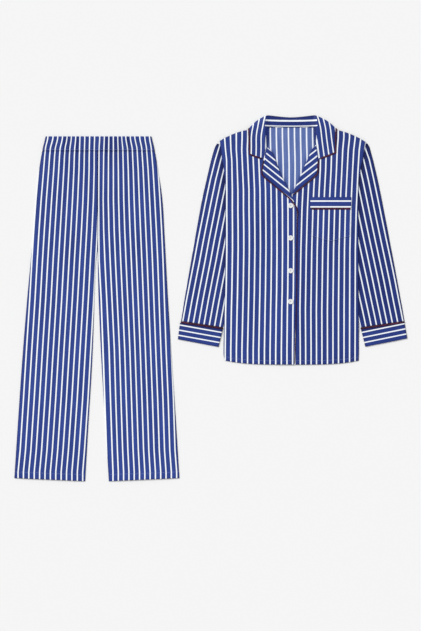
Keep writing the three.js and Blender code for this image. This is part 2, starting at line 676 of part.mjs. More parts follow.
// Left: along the lapel's edge. Right: the same, then over the roll line and down the front edge.
function addLapelPiping(side) {
  const half = PIPING.high / 2;
  const edge = LAPEL[side].map((row) => row.edge);
  const lapel = beside(edge, -SIGN[side] * PIPING_OUT);
  lapel[0] = mixPoint(lapel[0], lapel[1], GORGE_START);
  const onCloth = ([across, down]) => [
    ...jacketPoint([across, down]),
    frontTop(side, across, down) + GAP + half,
  ];
  if (side === "left") {
    addPiping("piping_lapel_left", lapel.map(onCloth), LEVEL);
    return;
  }
  const { start, end } = EDGE_PIPING;
  const downs = [start, ...FRONT_DOWNS.filter((down) => down > start && down < end), end];
  const onEdge = downs.map((down) => {
    const across = frontEdge.right(down) + PIPING_OUT;
    return [...jacketPoint([across, down]), frontHeight(side, across, down) + half];
  });
  addPiping("piping_front", [...[...lapel, ...PIPING_TURN].map(onCloth), ...onEdge], LEVEL);
}

// The collar's stations on both sides, in order from the right notch to the left notch
function collarStations() {
  const right = COLLAR.map((row) => ({ ...row, side: "right" }));
  const left = COLLAR.slice(0, -1).map((row) => ({
    ...row,
    side: "left",
    roll: [row.rollLeft, row.roll[1]],
    edge: [row.edgeLeft, row.edge[1]],
    neck: [row.neckLeft ?? 2 * NECK.middle - row.neck[0], row.neck[1]],
  }));
  return [...right, ...left.reverse()].map((row) => {
    const toEdge = [row.edge[0] - row.roll[0], row.edge[1] - row.roll[1]];
    const toNeck = [row.neck[0] - row.roll[0], row.neck[1] - row.roll[1]];
    const fall = Math.hypot(...toEdge);
    const stand = Math.hypot(...toNeck);
    const sign = row.side === "right" ? -1 : 1;
    return {
      ...row,
      fall,
      stand,
      toEdge: toEdge.map((value) => value / fall),
      toNeck: toNeck.map((value) => value / stand),
      outwards: [(-sign * -toEdge[1]) / fall, (-sign * toEdge[0]) / fall],
    };
  });
}

// Middle of the collar's wall at length from the roll: below 0 on the stand, above on the fall
function collarPoint(row, length) {
  const round = Math.hypot(length, ROLL_RADIUS);
  const onFall = (length + round) / 2;
  const onStand = (round - length) / 2;
  const bow = row.bow * Math.sin(Math.PI * clamp(onFall / row.fall));
  const place = [0, 1].map(
    (i) => row.roll[i] + row.toEdge[i] * onFall + row.toNeck[i] * onStand + row.outwards[i] * bow
  );
  const top = frontTop(row.side, ...place) + GAP + CLOTH / 2;
  const fallLeft = 1 - clamp(onFall / row.fall);
  const standLeft = 1 - clamp(onStand / row.stand);
  const fallHeight = mix(CLOTH / 2, top + row.lift * fallLeft ** 2, row.over);
  const standBack = mix(STAND_HEIGHT.neck, STAND_HEIGHT.roll, standLeft);
  const standHeight = mix(standBack, top + row.lift * standLeft, row.over);
  return [...place, mix(standHeight, fallHeight, (1 + length / round) / 2)];
}

function addCollar() {
  const stations = collarStations();
  const middle = stations.map((row) =>
    [
      ...STAND_STEPS.map((step) => -step * row.stand),
      ...FALL_STEPS.map((step) => step * row.fall),
    ].map((length) => {
      const [across, down, z] = collarPoint(row, length);
      return new THREE.Vector3(...jacketPoint([across, down]), z);
    })
  );
  const face = (shift) =>
    middle.map((row, i) =>
      row.map((point, j) => {
        const after = middle[Math.min(i + 1, middle.length - 1)][j];
        const along = after.clone().sub(middle[Math.max(i - 1, 0)][j]);
        const over = row[Math.min(j + 1, row.length - 1)].clone().sub(row[Math.max(j - 1, 0)]);
        return point.clone().addScaledVector(along.cross(over).normalize(), shift).toArray();
      })
    );
  addWall("collar", face(-CLOTH / 2), face(CLOTH / 2), "blue");
  addCollarPiping(stations);
}

// Round the collar's edge: along the bottom of one wing, over the shoulders and back to the other
function addCollarPiping(stations) {
  const beyond = (row, length, out) => {
    const [across, down, z] = collarPoint(row, length);
    const place = [across + out[0] * PIPING_OUT, down + out[1] * PIPING_OUT];
    return { at: [...jacketPoint(place), z - CLOTH / 2 + PIPING.high / 2], out };
  };
  const edge = stations.slice(1, -1).map((row) => beyond(row, row.fall, row.toEdge));
  const [first, last] = [stations[0], stations[stations.length - 1]].map((row) => {
    const below = row.outwards.map((value) => -value);
    const corner = row.toEdge.map((value, i) => (value + below[i]) * CORNER_REACH);
    const points = WING_STEPS.map((t) => beyond(row, t * row.fall, below));
    return [...points, beyond(row, row.fall, corner)];
  });
  const path = [...first, ...edge, ...last.reverse()];
  const sideways = (k) => new THREE.Vector3(path[k].out[0], -path[k].out[1], 0);
  addPiping("piping_collar", path.map((point) => point.at), sideways);
}

function addPocket() {
  const onFront = (across, down) => frontTop("left", across, down) + GAP;
  const add = (name, shape, rows, downAt, wall) => {
    const plan = rows.map((v) =>
      POCKET_COLUMNS.map((t) => jacketPoint([mix(shape.from, shape.to, t), downAt(t, v)]))
    );
    addPanel(name, plan, onJacket(onFront), wall, "blue");
  };
  const pointed = (t, v) => mix(POCKET.top, POCKET.bottom + POCKET.point * (1 - Math.abs(2 * t - 1)), v);
  const straight = (_, v) => mix(POCKET_BAND.top, POCKET_BAND.bottom, v);
  add("pocket", POCKET, POCKET_ROWS, pointed, CLOTH);
  add("pocket_band", POCKET_BAND, POCKET_BAND_ROWS, straight, DOUBLE);
  const { from, to, down } = POCKET_PIPING;
  const path = POCKET_COLUMNS.map((t) => {
    const across = mix(from, to, t);
    return [...jacketPoint([across, down]), onFront(across, down) + PIPING.high / 2];
  });
  addPiping("piping_pocket", path, LEVEL);
}

function addButtons() {
  const profile = BUTTON_PROFILE.map(({ radius, height }) => new THREE.Vector2(radius, height));
  BUTTON_DOWNS.forEach((down, i) => {
    const geometry = new THREE.LatheGeometry(profile, BUTTON_SEGMENTS).rotateX(Math.PI / 2);
    const button = addMesh("button_" + (i + 1), geometry, "white");
    const height = frontTop("right", BUTTON_ACROSS, down) + BUTTON_SEAT;
    button.position.set(...jacketPoint([BUTTON_ACROSS, down]), height);
  });
}

for (const side of ["right", "left"]) addLegs(side);
addWaistband();
addBack();
for (const side of ["right", "left"]) {
  addFront(side);
  addSleeve(side);
  addCuff(side);
  addLapel(side);
  addLapelPiping(side);
}
addCollar();
addPocket();
addButtons();

export default set;
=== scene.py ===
# %% [markdown]
# A striped pyjama set, laid flat
# The set is a jacket with a notched collar and straight trousers with an elastic waist, in striped
# cotton sateen with maroon piping. Cloth that lies flat could be simulated, or drawn as a flat
# picture. Here each cut piece is a surface worked out with numpy, because its stripes, seams and
# folds then lie exactly where a maker's cut puts them. Sizes are in millimetres until a mesh is made.

import bmesh
import bpy
import numpy as np
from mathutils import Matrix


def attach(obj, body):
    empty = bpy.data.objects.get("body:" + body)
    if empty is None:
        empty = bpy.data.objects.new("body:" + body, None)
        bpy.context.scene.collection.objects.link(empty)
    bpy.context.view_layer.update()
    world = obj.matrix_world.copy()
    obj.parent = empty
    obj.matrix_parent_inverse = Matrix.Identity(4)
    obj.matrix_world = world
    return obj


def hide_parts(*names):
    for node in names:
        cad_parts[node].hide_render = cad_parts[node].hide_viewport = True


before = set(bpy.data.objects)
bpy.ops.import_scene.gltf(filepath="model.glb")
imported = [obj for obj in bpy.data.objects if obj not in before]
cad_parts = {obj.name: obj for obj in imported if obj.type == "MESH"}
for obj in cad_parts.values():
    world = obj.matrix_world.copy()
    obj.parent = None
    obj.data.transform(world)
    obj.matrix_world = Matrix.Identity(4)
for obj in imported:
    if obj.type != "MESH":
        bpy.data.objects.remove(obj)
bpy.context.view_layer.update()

# %% [markdown]
# Camera, floor and light
# The set is seen from straight above, as a maker photographs a flat lay. A long lens high above it
# keeps the edges straight. The floor is pale paper. A lamp near by would leave one corner of the floor
# darker, so a broad soft sun from the upper left gives the folds their shade, and an even sky fills it.

# %% Colours from sRGB hex
def linear(code, alpha=1.0):
    """sRGB hex turned to linear light: below 0.04045 a straight line, above it a power of 2.4."""
    value = np.array([int(code[i:i + 2], 16) for i in (1, 3, 5)]) / 255
    light = np.where(value <= 0.04045, value / 12.92, ((value + 0.055) / 1.055) ** 2.4)
    return (*light.tolist(), alpha)


# %% A node with its settings and links
def add(tree, kind, settings=None, inputs=None):
    """Adds one node, sets its options, and gives each input a value or a link."""
    node = tree.nodes.new(kind)
    for name, value in (settings or {}).items():
        setattr(node, name, value)
    for name, value in (inputs or {}).items():
        if isinstance(value, bpy.types.NodeSocket):
            tree.links.new(value, node.inputs[name])
        else:
            node.inputs[name].default_value = value
    return node


def new_material(name, values):
    """A material whose shader has these values, joined to its output."""
    material = bpy.data.materials.new(name)
    material.use_nodes = True
    tree = material.node_tree
    tree.nodes.clear()
    shader = add(tree, "ShaderNodeBsdfPrincipled", inputs=values)
    add(tree, "ShaderNodeOutputMaterial", inputs={"Surface": shader.outputs["BSDF"]})
    return material, tree, shader


def between(tree, factor, first, second, target=None):
    """Colour from first to second, hex codes or sockets, by the factor, and joined to the target."""
    ends = {end: linear(colour) if isinstance(colour, str) else colour
            for end, colour in (("A", first), ("B", second))}
    colour = add(tree, "ShaderNodeMix", {"data_type": "RGBA"}, {"Factor": factor, **ends}).outputs["Result"]
    if target is not None:
        tree.links.new(colour, target)
    return colour


def raised(tree, shader, height, strength, distance):
    """Relief from a height, joined to the shader's normal."""
    relief = add(tree, "ShaderNodeBump", inputs={
        "Height": height, "Strength": strength, "Distance": distance})
    tree.links.new(relief.outputs["Normal"], shader.inputs["Normal"])


# %% Camera
PIXEL = 2.9  # mm of the set in one pixel of the photograph
PICTURE = {"wide": 421, "high": 631}
VIEW_CENTRE = {"x": -1.2, "y": -49.9}
CAMERA_HEIGHT = 8.0  # metres
SENSOR = 24.0

camera = bpy.data.objects.new("camera", bpy.data.cameras.new("camera"))
camera.data.sensor_fit = "VERTICAL"
camera.data.sensor_height = SENSOR
camera.data.lens = SENSOR * CAMERA_HEIGHT / (PICTURE["high"] * PIXEL / 1000)
camera.data.clip_end = 50
camera.location = (VIEW_CENTRE["x"] / 1000, VIEW_CENTRE["y"] / 1000, CAMERA_HEIGHT)
bpy.context.collection.objects.link(camera)
bpy.context.scene.camera = camera
print("lens", round(camera.data.lens, 1), "mm")

# %% Floor
FLOOR_SIZE = 12.0
FLOOR_DROP = 0.0002

material, tree, shader = new_material("pale paper", {"Roughness": 0.9})
grain = add(tree, "ShaderNodeTexNoise", inputs={
    "Vector": add(tree, "ShaderNodeTexCoord").outputs["Object"], "Scale": 300.0, "Detail": 3.0})
between(tree, grain.outputs["Fac"], "#f0f0f0", "#f3f3f3", shader.inputs["Base Color"])
half = FLOOR_SIZE / 2
mesh = bpy.data.meshes.new("floor")
mesh.from_pydata([(-half, -half, -FLOOR_DROP), (half, -half, -FLOOR_DROP),
                  (half, half, -FLOOR_DROP), (-half, half, -FLOOR_DROP)], [], [(0, 1, 2, 3)])
mesh.materials.append(material)
floor = bpy.data.objects.new("floor", mesh)
bpy.context.collection.objects.link(floor)

# %% Light
SUN = {"from": (-0.62, 0.55, 0.72), "strength": 2.3, "softness": 26}
SKY = {"colour": "#ffffff", "strength": 0.555}

sun = bpy.data.objects.new("sun", bpy.data.lights.new("sun", "SUN"))
sun.data.energy = SUN["strength"]
sun.data.angle = np.radians(SUN["softness"])
towards = np.array(SUN["from"]) / np.linalg.norm(SUN["from"])
sun.rotation_euler = (0, float(np.arccos(towards[2])), float(np.arctan2(towards[1], towards[0])))
bpy.context.collection.objects.link(sun)

sky = bpy.data.worlds.new("sky")
sky.use_nodes = True
sky.node_tree.nodes["Background"].inputs["Color"].default_value = linear(SKY["colour"])
sky.node_tree.nodes["Background"].inputs["Strength"].default_value = SKY["strength"]
bpy.context.scene.world = sky
bpy.context.scene.view_settings.view_transform = "Standard"
print("sun stands", round(90 - np.degrees(np.arccos(towards[2])), 1), "degrees high")

# %% [markdown]
# Striped cotton sateen
# The cloth is cotton sateen: long floats on its face give a soft sheen, and the yarn-dyed stripes show
# paler on the wrong side. A printed picture of stripes could be wrapped round each piece. Here every
# piece carries its own stripe count in a UV map instead, whole numbers at the middle of each white
# stripe, so one material draws them all and they bend, lean and mirror as the cut does. Real threads
# are 0.15 mm apart, too fine for any view here, so the twill of the floats is drawn at 0.9 mm.

# %% Cloth material
REPEAT = 16.0  # mm from one white stripe to the next
WHITE_HALF = 0.119  # half of the white stripe, as a share of the repeat
STRIPE_EDGE = 0.012
TWILL = 0.9  # mm between the drawn lines of the weave
RELIEF = {"floats": 0.00003, "soft": 0.0006}  # metres
SHADE_POWERS = {"Red": 1.25, "Green": 1.1, "Blue": 0.7}  # light lost in a blue fold turns bluer
WHITE_SHADE = 0.13  # white cotton scatters light round a fold, so it darkens far less
TURN = 2 * np.pi


def sateen(name, deep, light, white, roughness, sheen):
    """Stripe: distance of the count from the nearest whole number, under WHITE_HALF is white.
    Tone: long thin noise along the yarn shifts the blue between deep and light.
    Shade: the painted shade value stored on each piece darkens it where folds and seams hold the light,
    to the power of 1 on the blue and of WHITE_SHADE on the white.
    Relief: slanted lines of the floats, and a soft unevenness of a few millimetres."""
    material, tree, shader = new_material(name, {
        "Roughness": roughness, "IOR": 1.45, "Specular IOR Level": 0.3, "Sheen Weight": sheen,
        "Sheen Roughness": 0.4})
    count = add(tree, "ShaderNodeUVMap", {"uv_map": "stripes"}).outputs["UV"]
    split = add(tree, "ShaderNodeSeparateXYZ", inputs={"Vector": count})

    def noise(scale, detail=2.0):
        place = add(tree, "ShaderNodeMapping", inputs={"Vector": count, "Scale": (*scale, 1.0)})
        return add(tree, "ShaderNodeTexNoise", inputs={
            "Vector": place.outputs["Vector"], "Scale": 1.0, "Detail": detail}).outputs["Fac"]

    def maths(operation, first, second=0.0):
        return add(tree, "ShaderNodeMath", {"operation": operation}, {0: first, 1: second}).outputs[0]

    ragged = maths("MULTIPLY", maths("SUBTRACT", noise((22.0, 3.0)), 0.5), 0.02)
    place = maths("ADD", maths("ADD", split.outputs["X"], ragged), 0.5)
    off = maths("ABSOLUTE", maths("SUBTRACT", maths("FRACT", place), 0.5))
    blue = add(tree, "ShaderNodeMapRange", {"interpolation_type": "SMOOTHSTEP"}, {
        "Value": off, "From Min": WHITE_HALF - STRIPE_EDGE, "From Max": WHITE_HALF + STRIPE_EDGE})
    streak = maths("ADD", maths("MULTIPLY", noise((1.7, 0.12), 3.0), 0.65),
                   maths("MULTIPLY", noise((26.0, 0.6)), 0.35))
    tone = add(tree, "ShaderNodeMapRange", inputs={"Value": streak, "From Min": 0.32, "From Max": 0.68})
    yarn = between(tree, tone.outputs["Result"], deep, light)
    colour = between(tree, blue.outputs["Result"], white, yarn)
    shade = maths("POWER", add(tree, "ShaderNodeAttribute", {"attribute_name": "shade"}).outputs["Fac"],
                  maths("ADD", maths("MULTIPLY", blue.outputs["Result"], 1 - WHITE_SHADE), WHITE_SHADE))
    tint = add(tree, "ShaderNodeCombineColor", inputs={
        part: maths("POWER", shade, power) for part, power in SHADE_POWERS.items()})
    # painted shade: the colour times the tint of the shade value
    painted_shade = add(tree, "ShaderNodeMix", {"data_type": "RGBA", "blend_type": "MULTIPLY"}, {
        "Factor": 1.0, "A": colour, "B": tint.outputs["Color"]})
    tree.links.new(painted_shade.outputs["Result"], shader.inputs["Base Color"])

    lines = REPEAT / TWILL * TURN
    slant = maths("ADD", maths("MULTIPLY", split.outputs["X"], lines),
                  maths("MULTIPLY", split.outputs["Y"], 0.6 * lines))
    floats = maths("MULTIPLY", maths("SINE", slant), RELIEF["floats"])
    soft = maths("MULTIPLY", noise((3.0, 1.1), 3.0), RELIEF["soft"])
    raised(tree, shader, maths("ADD", floats, soft), 1.0, 1.0)
    return material


FACE = sateen("cotton sateen face", "#1c337b", "#2d479a", "#fbffff", 0.55, 0.02)
WRONG = sateen("cotton sateen wrong side", "#5069a8", "#7689c0", "#f4f8ff", 0.62, 0.02)
print("cloth materials", FACE.name, WRONG.name)

# %% [markdown]
# From a grid to a piece of cloth
# Every cut piece is a grid of points over its plan with a height at each. A flat plane pushed about
# with modifiers would do the same, but a worked-out grid keeps the outline exact. The grid is the
# face of the cloth, and a Solidify gives it its thickness inwards, with the paler wrong side inside.

# %% Tables and curves
def ease(t):
    """Smooth step from 0 to 1: three t squared less two t cubed."""
    t = np.clip(t, 0, 1)
    return t * t * (3 - 2 * t)


def mix(a, b, t):
    """From a to b at the share t of the way."""
    return a + (b - a) * t


def bell(distance, width):
    """1 at no distance and nothing far off: e to the power of minus the square of their ratio."""
    return np.exp(-(distance / width) ** 2)


def curve(table, value, at="down"):
    """Reads a column of a table at any place: cubic pieces whose slopes come from the next rows."""
    place, height = np.array(table[at], float), np.array(table[value], float)
    last = len(place) - 1
    before, after = np.maximum(np.arange(last + 1) - 1, 0), np.minimum(np.arange(last + 1) + 1, last)
    slope = (height[after] - height[before]) / (place[after] - place[before])

    def read(x):
        i = np.clip(np.searchsorted(place, x) - 1, 0, last - 1)
        step = place[i + 1] - place[i]
        t = np.clip((x - place[i]) / step, 0, 1)
        bend = t * (1 - t) * step * (slope[i] * (1 - t) - slope[i + 1] * t)
        return mix(height[i], height[i + 1], ease(t)) + bend

    return read


def line(table, value, at="down"):
    """Reads a column along straight pieces, for lines with real corners."""
    return lambda x: np.interp(x, table[at], table[value])


def rounded(distance, radius):
    """Quarter circle: 0 at an edge and 1 from radius inwards."""
    return np.sqrt(np.clip(1 - (1 - np.clip(distance / radius, 0, 1)) ** 2, 0, 1))


def fractions(count, length, edge=4.0):
    """From 0 to 1 in even steps, with four closer ones within edge mm of both ends."""
    close = np.array([0, 0.08, 0.25, 0.55]) * edge / length
    return np.r_[close, np.linspace(edge / length, 1 - edge / length, count), 1 - close[::-1]]


def length_along(path):
    """Length in mm along a path up to each of its points: the sum of the steps before it."""
    return np.r_[0, np.cumsum(np.linalg.norm(np.diff(path, axis=0), axis=1))]


def to_side(t, width):
    """Distance in mm from each column to the nearer side of a row."""
    return np.minimum(t, 1 - t)[None, :] * width


def turned_hem(above, deep):
    """Height added by a turned hem: its second layer, and a furrow along its row of stitches."""
    return 0.3 * (1 - ease((above - deep) / 1.5)) - 0.35 * bell(above - deep, 0.9)


# %% Creases
LOOSE = 1.4  # how much deeper the cloth's creases lie than those of a freshly pressed one


def creases(x, y, rows):
    """Sum of soft ridges (or troughs, below 0): each is its height times a bell across its line
    and a fade to nothing at both of its ends, and all are LOOSE times as deep as listed."""
    total = np.zeros_like(x)
    for x0, y0, x1, y1, width, height in rows:
        run = np.hypot(x1 - x0, y1 - y0)
        along = ((x - x0) * (x1 - x0) + (y - y0) * (y1 - y0)) / run ** 2
        off = ((x - x0) * (y1 - y0) - (y - y0) * (x1 - x0)) / run
        fade = np.clip(1 - (2 * along - 1) ** 2, 0, 1) ** 0.75
        total += LOOSE * height * bell(off, width) * fade
    return total


# %% Cloth from a grid
THICK = 0.7  # mm, one layer as drawn
LAID = {}  # the face grid of each piece, for the rows of stitches
# Painted shade of each whole piece, multiplied into its shade value: the jacket's pieces darker, its left side
# most
PIECE_PAINTED_SHADE = {"leg_front_right": 1, "leg_front_left": 1, "leg_back_right": 1, "leg_back_left": 1,
        "waistband": 0.9, "front_right": 0.86, "front_left": 0.73, "sleeve_right": 0.75,
        "sleeve_left": 0.56, "cuff_left": 0.74}
JACKET_PAINTED_SHADE = 0.83


def stripes(number, along):
    """The stripe count and the length along the yarn in repeats, one pair for each point."""
    return np.stack([number, along / REPEAT + 0 * number], -1)


def surface(name, points, count, closed=False, upward=None, shade=1.0, other=None, swap=None):
    """Mesh of a grid of points (rows, columns, 3) in mm, with the stripe counts (rows, columns, 2)
    as its UV map, or the other counts on the faces that swap marks, and its painted shade value shade.
    closed joins the last column, a copy of the first, to the first.
    Faces are turned so that the mean normal points up, down, or out of a closed loop."""
    rows, columns = points.shape[:2]
    wide = columns - 1 if closed else columns
    number = np.arange(rows * wide).reshape(rows, wide)
    if closed:
        number = np.c_[number, number[:, :1]]
    corner = [(slice(0, -1), slice(0, -1)), (slice(1, None), slice(0, -1)),
              (slice(1, None), slice(1, None)), (slice(0, -1), slice(1, None))]
    faces = np.stack([number[c] for c in corner], -1).reshape(-1, 4)
    loops = np.stack([count[c] for c in corner], 2)
    if other is not None:
        loops = np.where(swap[..., None, None], np.stack([other[c] for c in corner], 2), loops)
    loops = loops.reshape(-1, 4, 2)
    quads = np.stack([points[c] for c in corner], 2).reshape(-1, 4, 3)
    normal = np.cross(quads[:, 2] - quads[:, 0], quads[:, 3] - quads[:, 1])
    if upward is None:
        ring = points.mean(axis=1, keepdims=True)
        away = np.stack([(points - ring)[c] for c in corner], 2).reshape(-1, 4, 3).mean(axis=1)
        turned = (normal[:, 2] * away[:, 2]).sum() < 0
    else:
        turned = (normal[:, 2].sum() > 0) != upward
    if turned:
        faces, loops = faces[:, ::-1], loops[:, ::-1]
    mesh = bpy.data.meshes.new(name)
    mesh.from_pydata((points[:, :wide].reshape(-1, 3) / 1000).tolist(), [], faces.tolist())
    layer = mesh.uv_layers.new(name="stripes")
    layer.data.foreach_set("uv", np.ascontiguousarray(loops, dtype=np.float32).ravel())
    # painted shade value of each point, read by the cloth material
    painted_shade = mesh.attributes.new("shade", "FLOAT", "POINT")
    painted_shade.data.foreach_set("value", (shade + np.zeros((rows, columns)))[:, :wide].ravel().astype(np.float32))
    mesh.polygons.foreach_set("use_smooth", np.ones(len(faces), dtype=bool))
    mesh.update()
    return mesh, float(np.linalg.norm(normal, axis=1).sum() / 2)


def keep(name, mesh, slot, *nodes):
    """Makes the finished piece: it rides on the root and stands for its CAD nodes."""
    piece = bpy.data.objects.new(name, mesh)
    bpy.context.collection.objects.link(piece)
    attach(piece, "root")
    if nodes:
        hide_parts(*nodes)
    return piece


def fill_ends(mesh, weld=None):
    """Gives each open end a face and turns all faces outwards; weld joins points that close."""
    bm = bmesh.new()
    bm.from_mesh(mesh)
    if weld:
        bmesh.ops.remove_doubles(bm, verts=bm.verts, dist=weld)
    bmesh.ops.holes_fill(bm, edges=[edge for edge in bm.edges if edge.is_boundary])
    bmesh.ops.recalc_face_normals(bm, faces=bm.faces)
    bm.to_mesh(mesh)
    bm.free()


def cloth(name, points, count, flat, rests_on, node=None, thick=THICK, double=False, middle=False, **form):
    """A piece of cloth: the grid's mesh, its wall and its two faces; its cut size, flat, is not used.
    It stands for the solid of its own name, or for node."""
    # the whole piece's painted shade from the table above joins its shade value
    form["shade"] = form.get("shade", 1.0) * PIECE_PAINTED_SHADE.get(name, JACKET_PAINTED_SHADE)
    mesh, area = surface(name, points, count, **form)
    LAID[name] = points
    mesh.materials.append(FACE)
    mesh.materials.append(FACE if double else WRONG)
    piece = keep(name, mesh, "striped_cotton", node or name)
    wall = piece.modifiers.new("wall", "SOLIDIFY")
    wall.thickness = thick / 1000
    wall.offset = 0.0 if middle else -1.0
    wall.material_offset = 1
    wall.use_even_offset = True


# %% [markdown]
# Trousers: four legs
# Each leg is a front and a back sewn at the side and the inside leg. They could be one tube, but the
# maker cuts four pieces, so four surfaces are made here. Where two meet, both edges roll towards each
# other, which gives the soft line of a pressed seam. The elastic draws up small gathers that die out
# down the leg, and the hem is a turned double band with a row of stitching at its upper edge.

# %% Trouser sizes
CLOTH = 1.0
GAP = 0.4
LAYER = CLOTH + GAP
TROUSERS = {"x": -328.0, "y": 469.5}
BAND_HEIGHT = 42.6
LEG_TOP = 43.1
LEG_END = 991.0
CROTCH_DOWN = 328.0
HALF_SEAM = 0.3
SEAM_HEIGHT = 1.2
LEG_HEM = 18.5
OUTSEAM = {
    "down": [0, 42, 97, 184, 300, 474, 648, 822, LEG_END],
    "right": [151, 161, 170, 179, 188.5, 205, 219, 231, 242],
    "left": [155, 165, 174.5, 187, 194, 203.5, 214.5, 226, 236.5],
}
INSEAM = {
    "down": [CROTCH_DOWN, 358, 387, 474, 648, 822, LEG_END],
    "right": [0.5, 5, 7.3, 10.2, 16.5, 27, 37],
    "left": [0.5, 0.3, 0.4, 2.6, 10.4, 21.5, 32],
}
GATHERS = {
    "right": {"at": [0.18, 0.36, 0.47, 0.6, 0.71, 0.88], "rise": [0.7, 1.0, 0.8, 1.1, 0.7, 0.9],
              "reach": [60, 95, 50, 110, 60, 80]},
    "left": {"at": [0.17, 0.32, 0.47, 0.57, 0.68, 0.78, 0.88],
             "rise": [0.8, 0.6, 1.0, 0.8, 1.1, 0.7, 0.9], "reach": [70, 50, 100, 60, 90, 50, 75]},
}
GATHER_WIDTH = 0.035
SIGN = {"right": -1, "left": 1}
# Where two white stripes of each front lie, from the centre line, ten repeats apart
LEG_STRIPES = {
    "down": [7, 28, 54, 97, 184, 271, 358, 474, 619, 764, 909, 973],
    "right": [-146.5, -150.4, -153.6, -156.9, -164.1, -170.1, -175.5, -181.9, -191.2, -200, -209.3, -215.5],
    "right_end": [-10.2, -9.9, -10.5, -10.5, -12.6, -16.5, -21.3, -27.4, -35.8, -44.1, -54, -59.3],
    "left": [18.6, 18.5, 17.1, 16.5, 15.4, 17, 20.5, 26.2, 33.1, 37, 41.7, 44.2],
    "left_end": [151.4, 154, 156.7, 160.3, 165.3, 169.8, 173.7, 177.8, 183.1, 189, 193.5, 197.9],
}
# The left leg's stripe that the centre seam cuts
SEAM_STRIPE = {"down": [7, 54, 97, 184, 300, 358, 474, 973],
               "across": [4.2, 3.7, 3.3, 2.8, 3.2, 3.8, 9.9, 27.6]}
# Folds that the elastic draws in: where they start, how deep they are and how far they run down
PLEATS = {
    "across": [-122, -96.6, -84.4, -58.6, -30, -8, 8, 25.5, 37.4, 51.6, 63.2, 87.9, 112, 133],
    "deep": [0.3, 0.7, 0.9, 0.75, 0.3, 0.35, 0.4, 0.75, 0.9, 0.75, 0.85, 1.0, 0.35, 0.3],
    "reach": [40, 45, 70, 40, 40, 60, 50, 50, 70, 60, 60, 75, 40, 40],
}
PLEAT_WIDTH = 4.2
# Soft creases of the legs: from x, y to x, y (across, down), half width and height
LEG_CREASES = [
    (-8, 335, -60, 250, 9, 0.5), (-10, 345, -95, 300, 11, -0.4), (10, 340, 70, 255, 10, 0.5),
    (12, 350, 110, 315, 12, -0.4), (-120, 90, -135, 420, 14, 0.45), (-75, 150, -100, 560, 17, 0.5),
    (-45, 330, -85, 800, 15, -0.4), (-150, 480, -190, 940, 18, 0.45), (-110, 620, -120, 960, 15, -0.35),
    (95, 110, 130, 480, 15, 0.45), (55, 190, 85, 640, 16, 0.5), (150, 300, 175, 760, 17, -0.4),
    (100, 560, 110, 950, 18, 0.45), (70, 700, 60, 960, 13, -0.3), (-20, 60, -30, 240, 12, -0.35),
    (28, 60, 22, 230, 12, -0.35),
]


def gather(side, t, below, width=GATHER_WIDTH):
    """Height of the gathers at fraction t across a front: bells that fade out below the band."""
    table = GATHERS[side]
    return sum(rise * bell(t - at, width) * (1 - ease(below / reach))
               for at, rise, reach in zip(table["at"], table["rise"], table["reach"]))


def pleats(across, below):
    """From 0 to 1: bells at the listed places, which spread by a twelfth and fade below the band."""
    home = across / (1 + np.clip(below, 0, None) / 900)
    return sum(deep * bell(home - at, PLEAT_WIDTH) * (1 - ease(below / reach))
               for at, deep, reach in zip(PLEATS["across"], PLEATS["deep"], PLEATS["reach"]))


def leg_count(side, across, down):
    """Stripe count: straight between the two listed stripes at this height, ten apart, and on."""
    first, tenth = line(LEG_STRIPES, side)(down), line(LEG_STRIPES, side + "_end")(down)
    count = 10 * (across - first) / (tenth - first)
    if side == "left":
        near = (across - first) / (first - line(SEAM_STRIPE, "across")(down))
        count = np.where(across < first, near, count)
    return count


# %% Legs
LEG_ROWS = np.r_[LEG_TOP + np.array([-0.4, 0.4, 2, 5]), np.linspace(52, LEG_END - 27, 118), LEG_END - np.array(
    [23, LEG_HEM + 1.6, LEG_HEM + 0.8, LEG_HEM, LEG_HEM - 0.8, LEG_HEM - 1.6, 12, 6, 3, 1.5, 0.6, 0])]


def leg_plan(side, t):
    """Across and down of the leg's grid: from the side seam to the inside leg, slanted at the hem."""
    down = LEG_ROWS[:, None] + 0 * t[None, :]
    inner = np.where(down < CROTCH_DOWN, HALF_SEAM, curve(INSEAM, side)(down))
    across = SIGN[side] * mix(curve(OUTSEAM, side)(down), inner, t[None, :])
    return across, down + 9 * t[None, :] * (down / LEG_END) ** 4, down


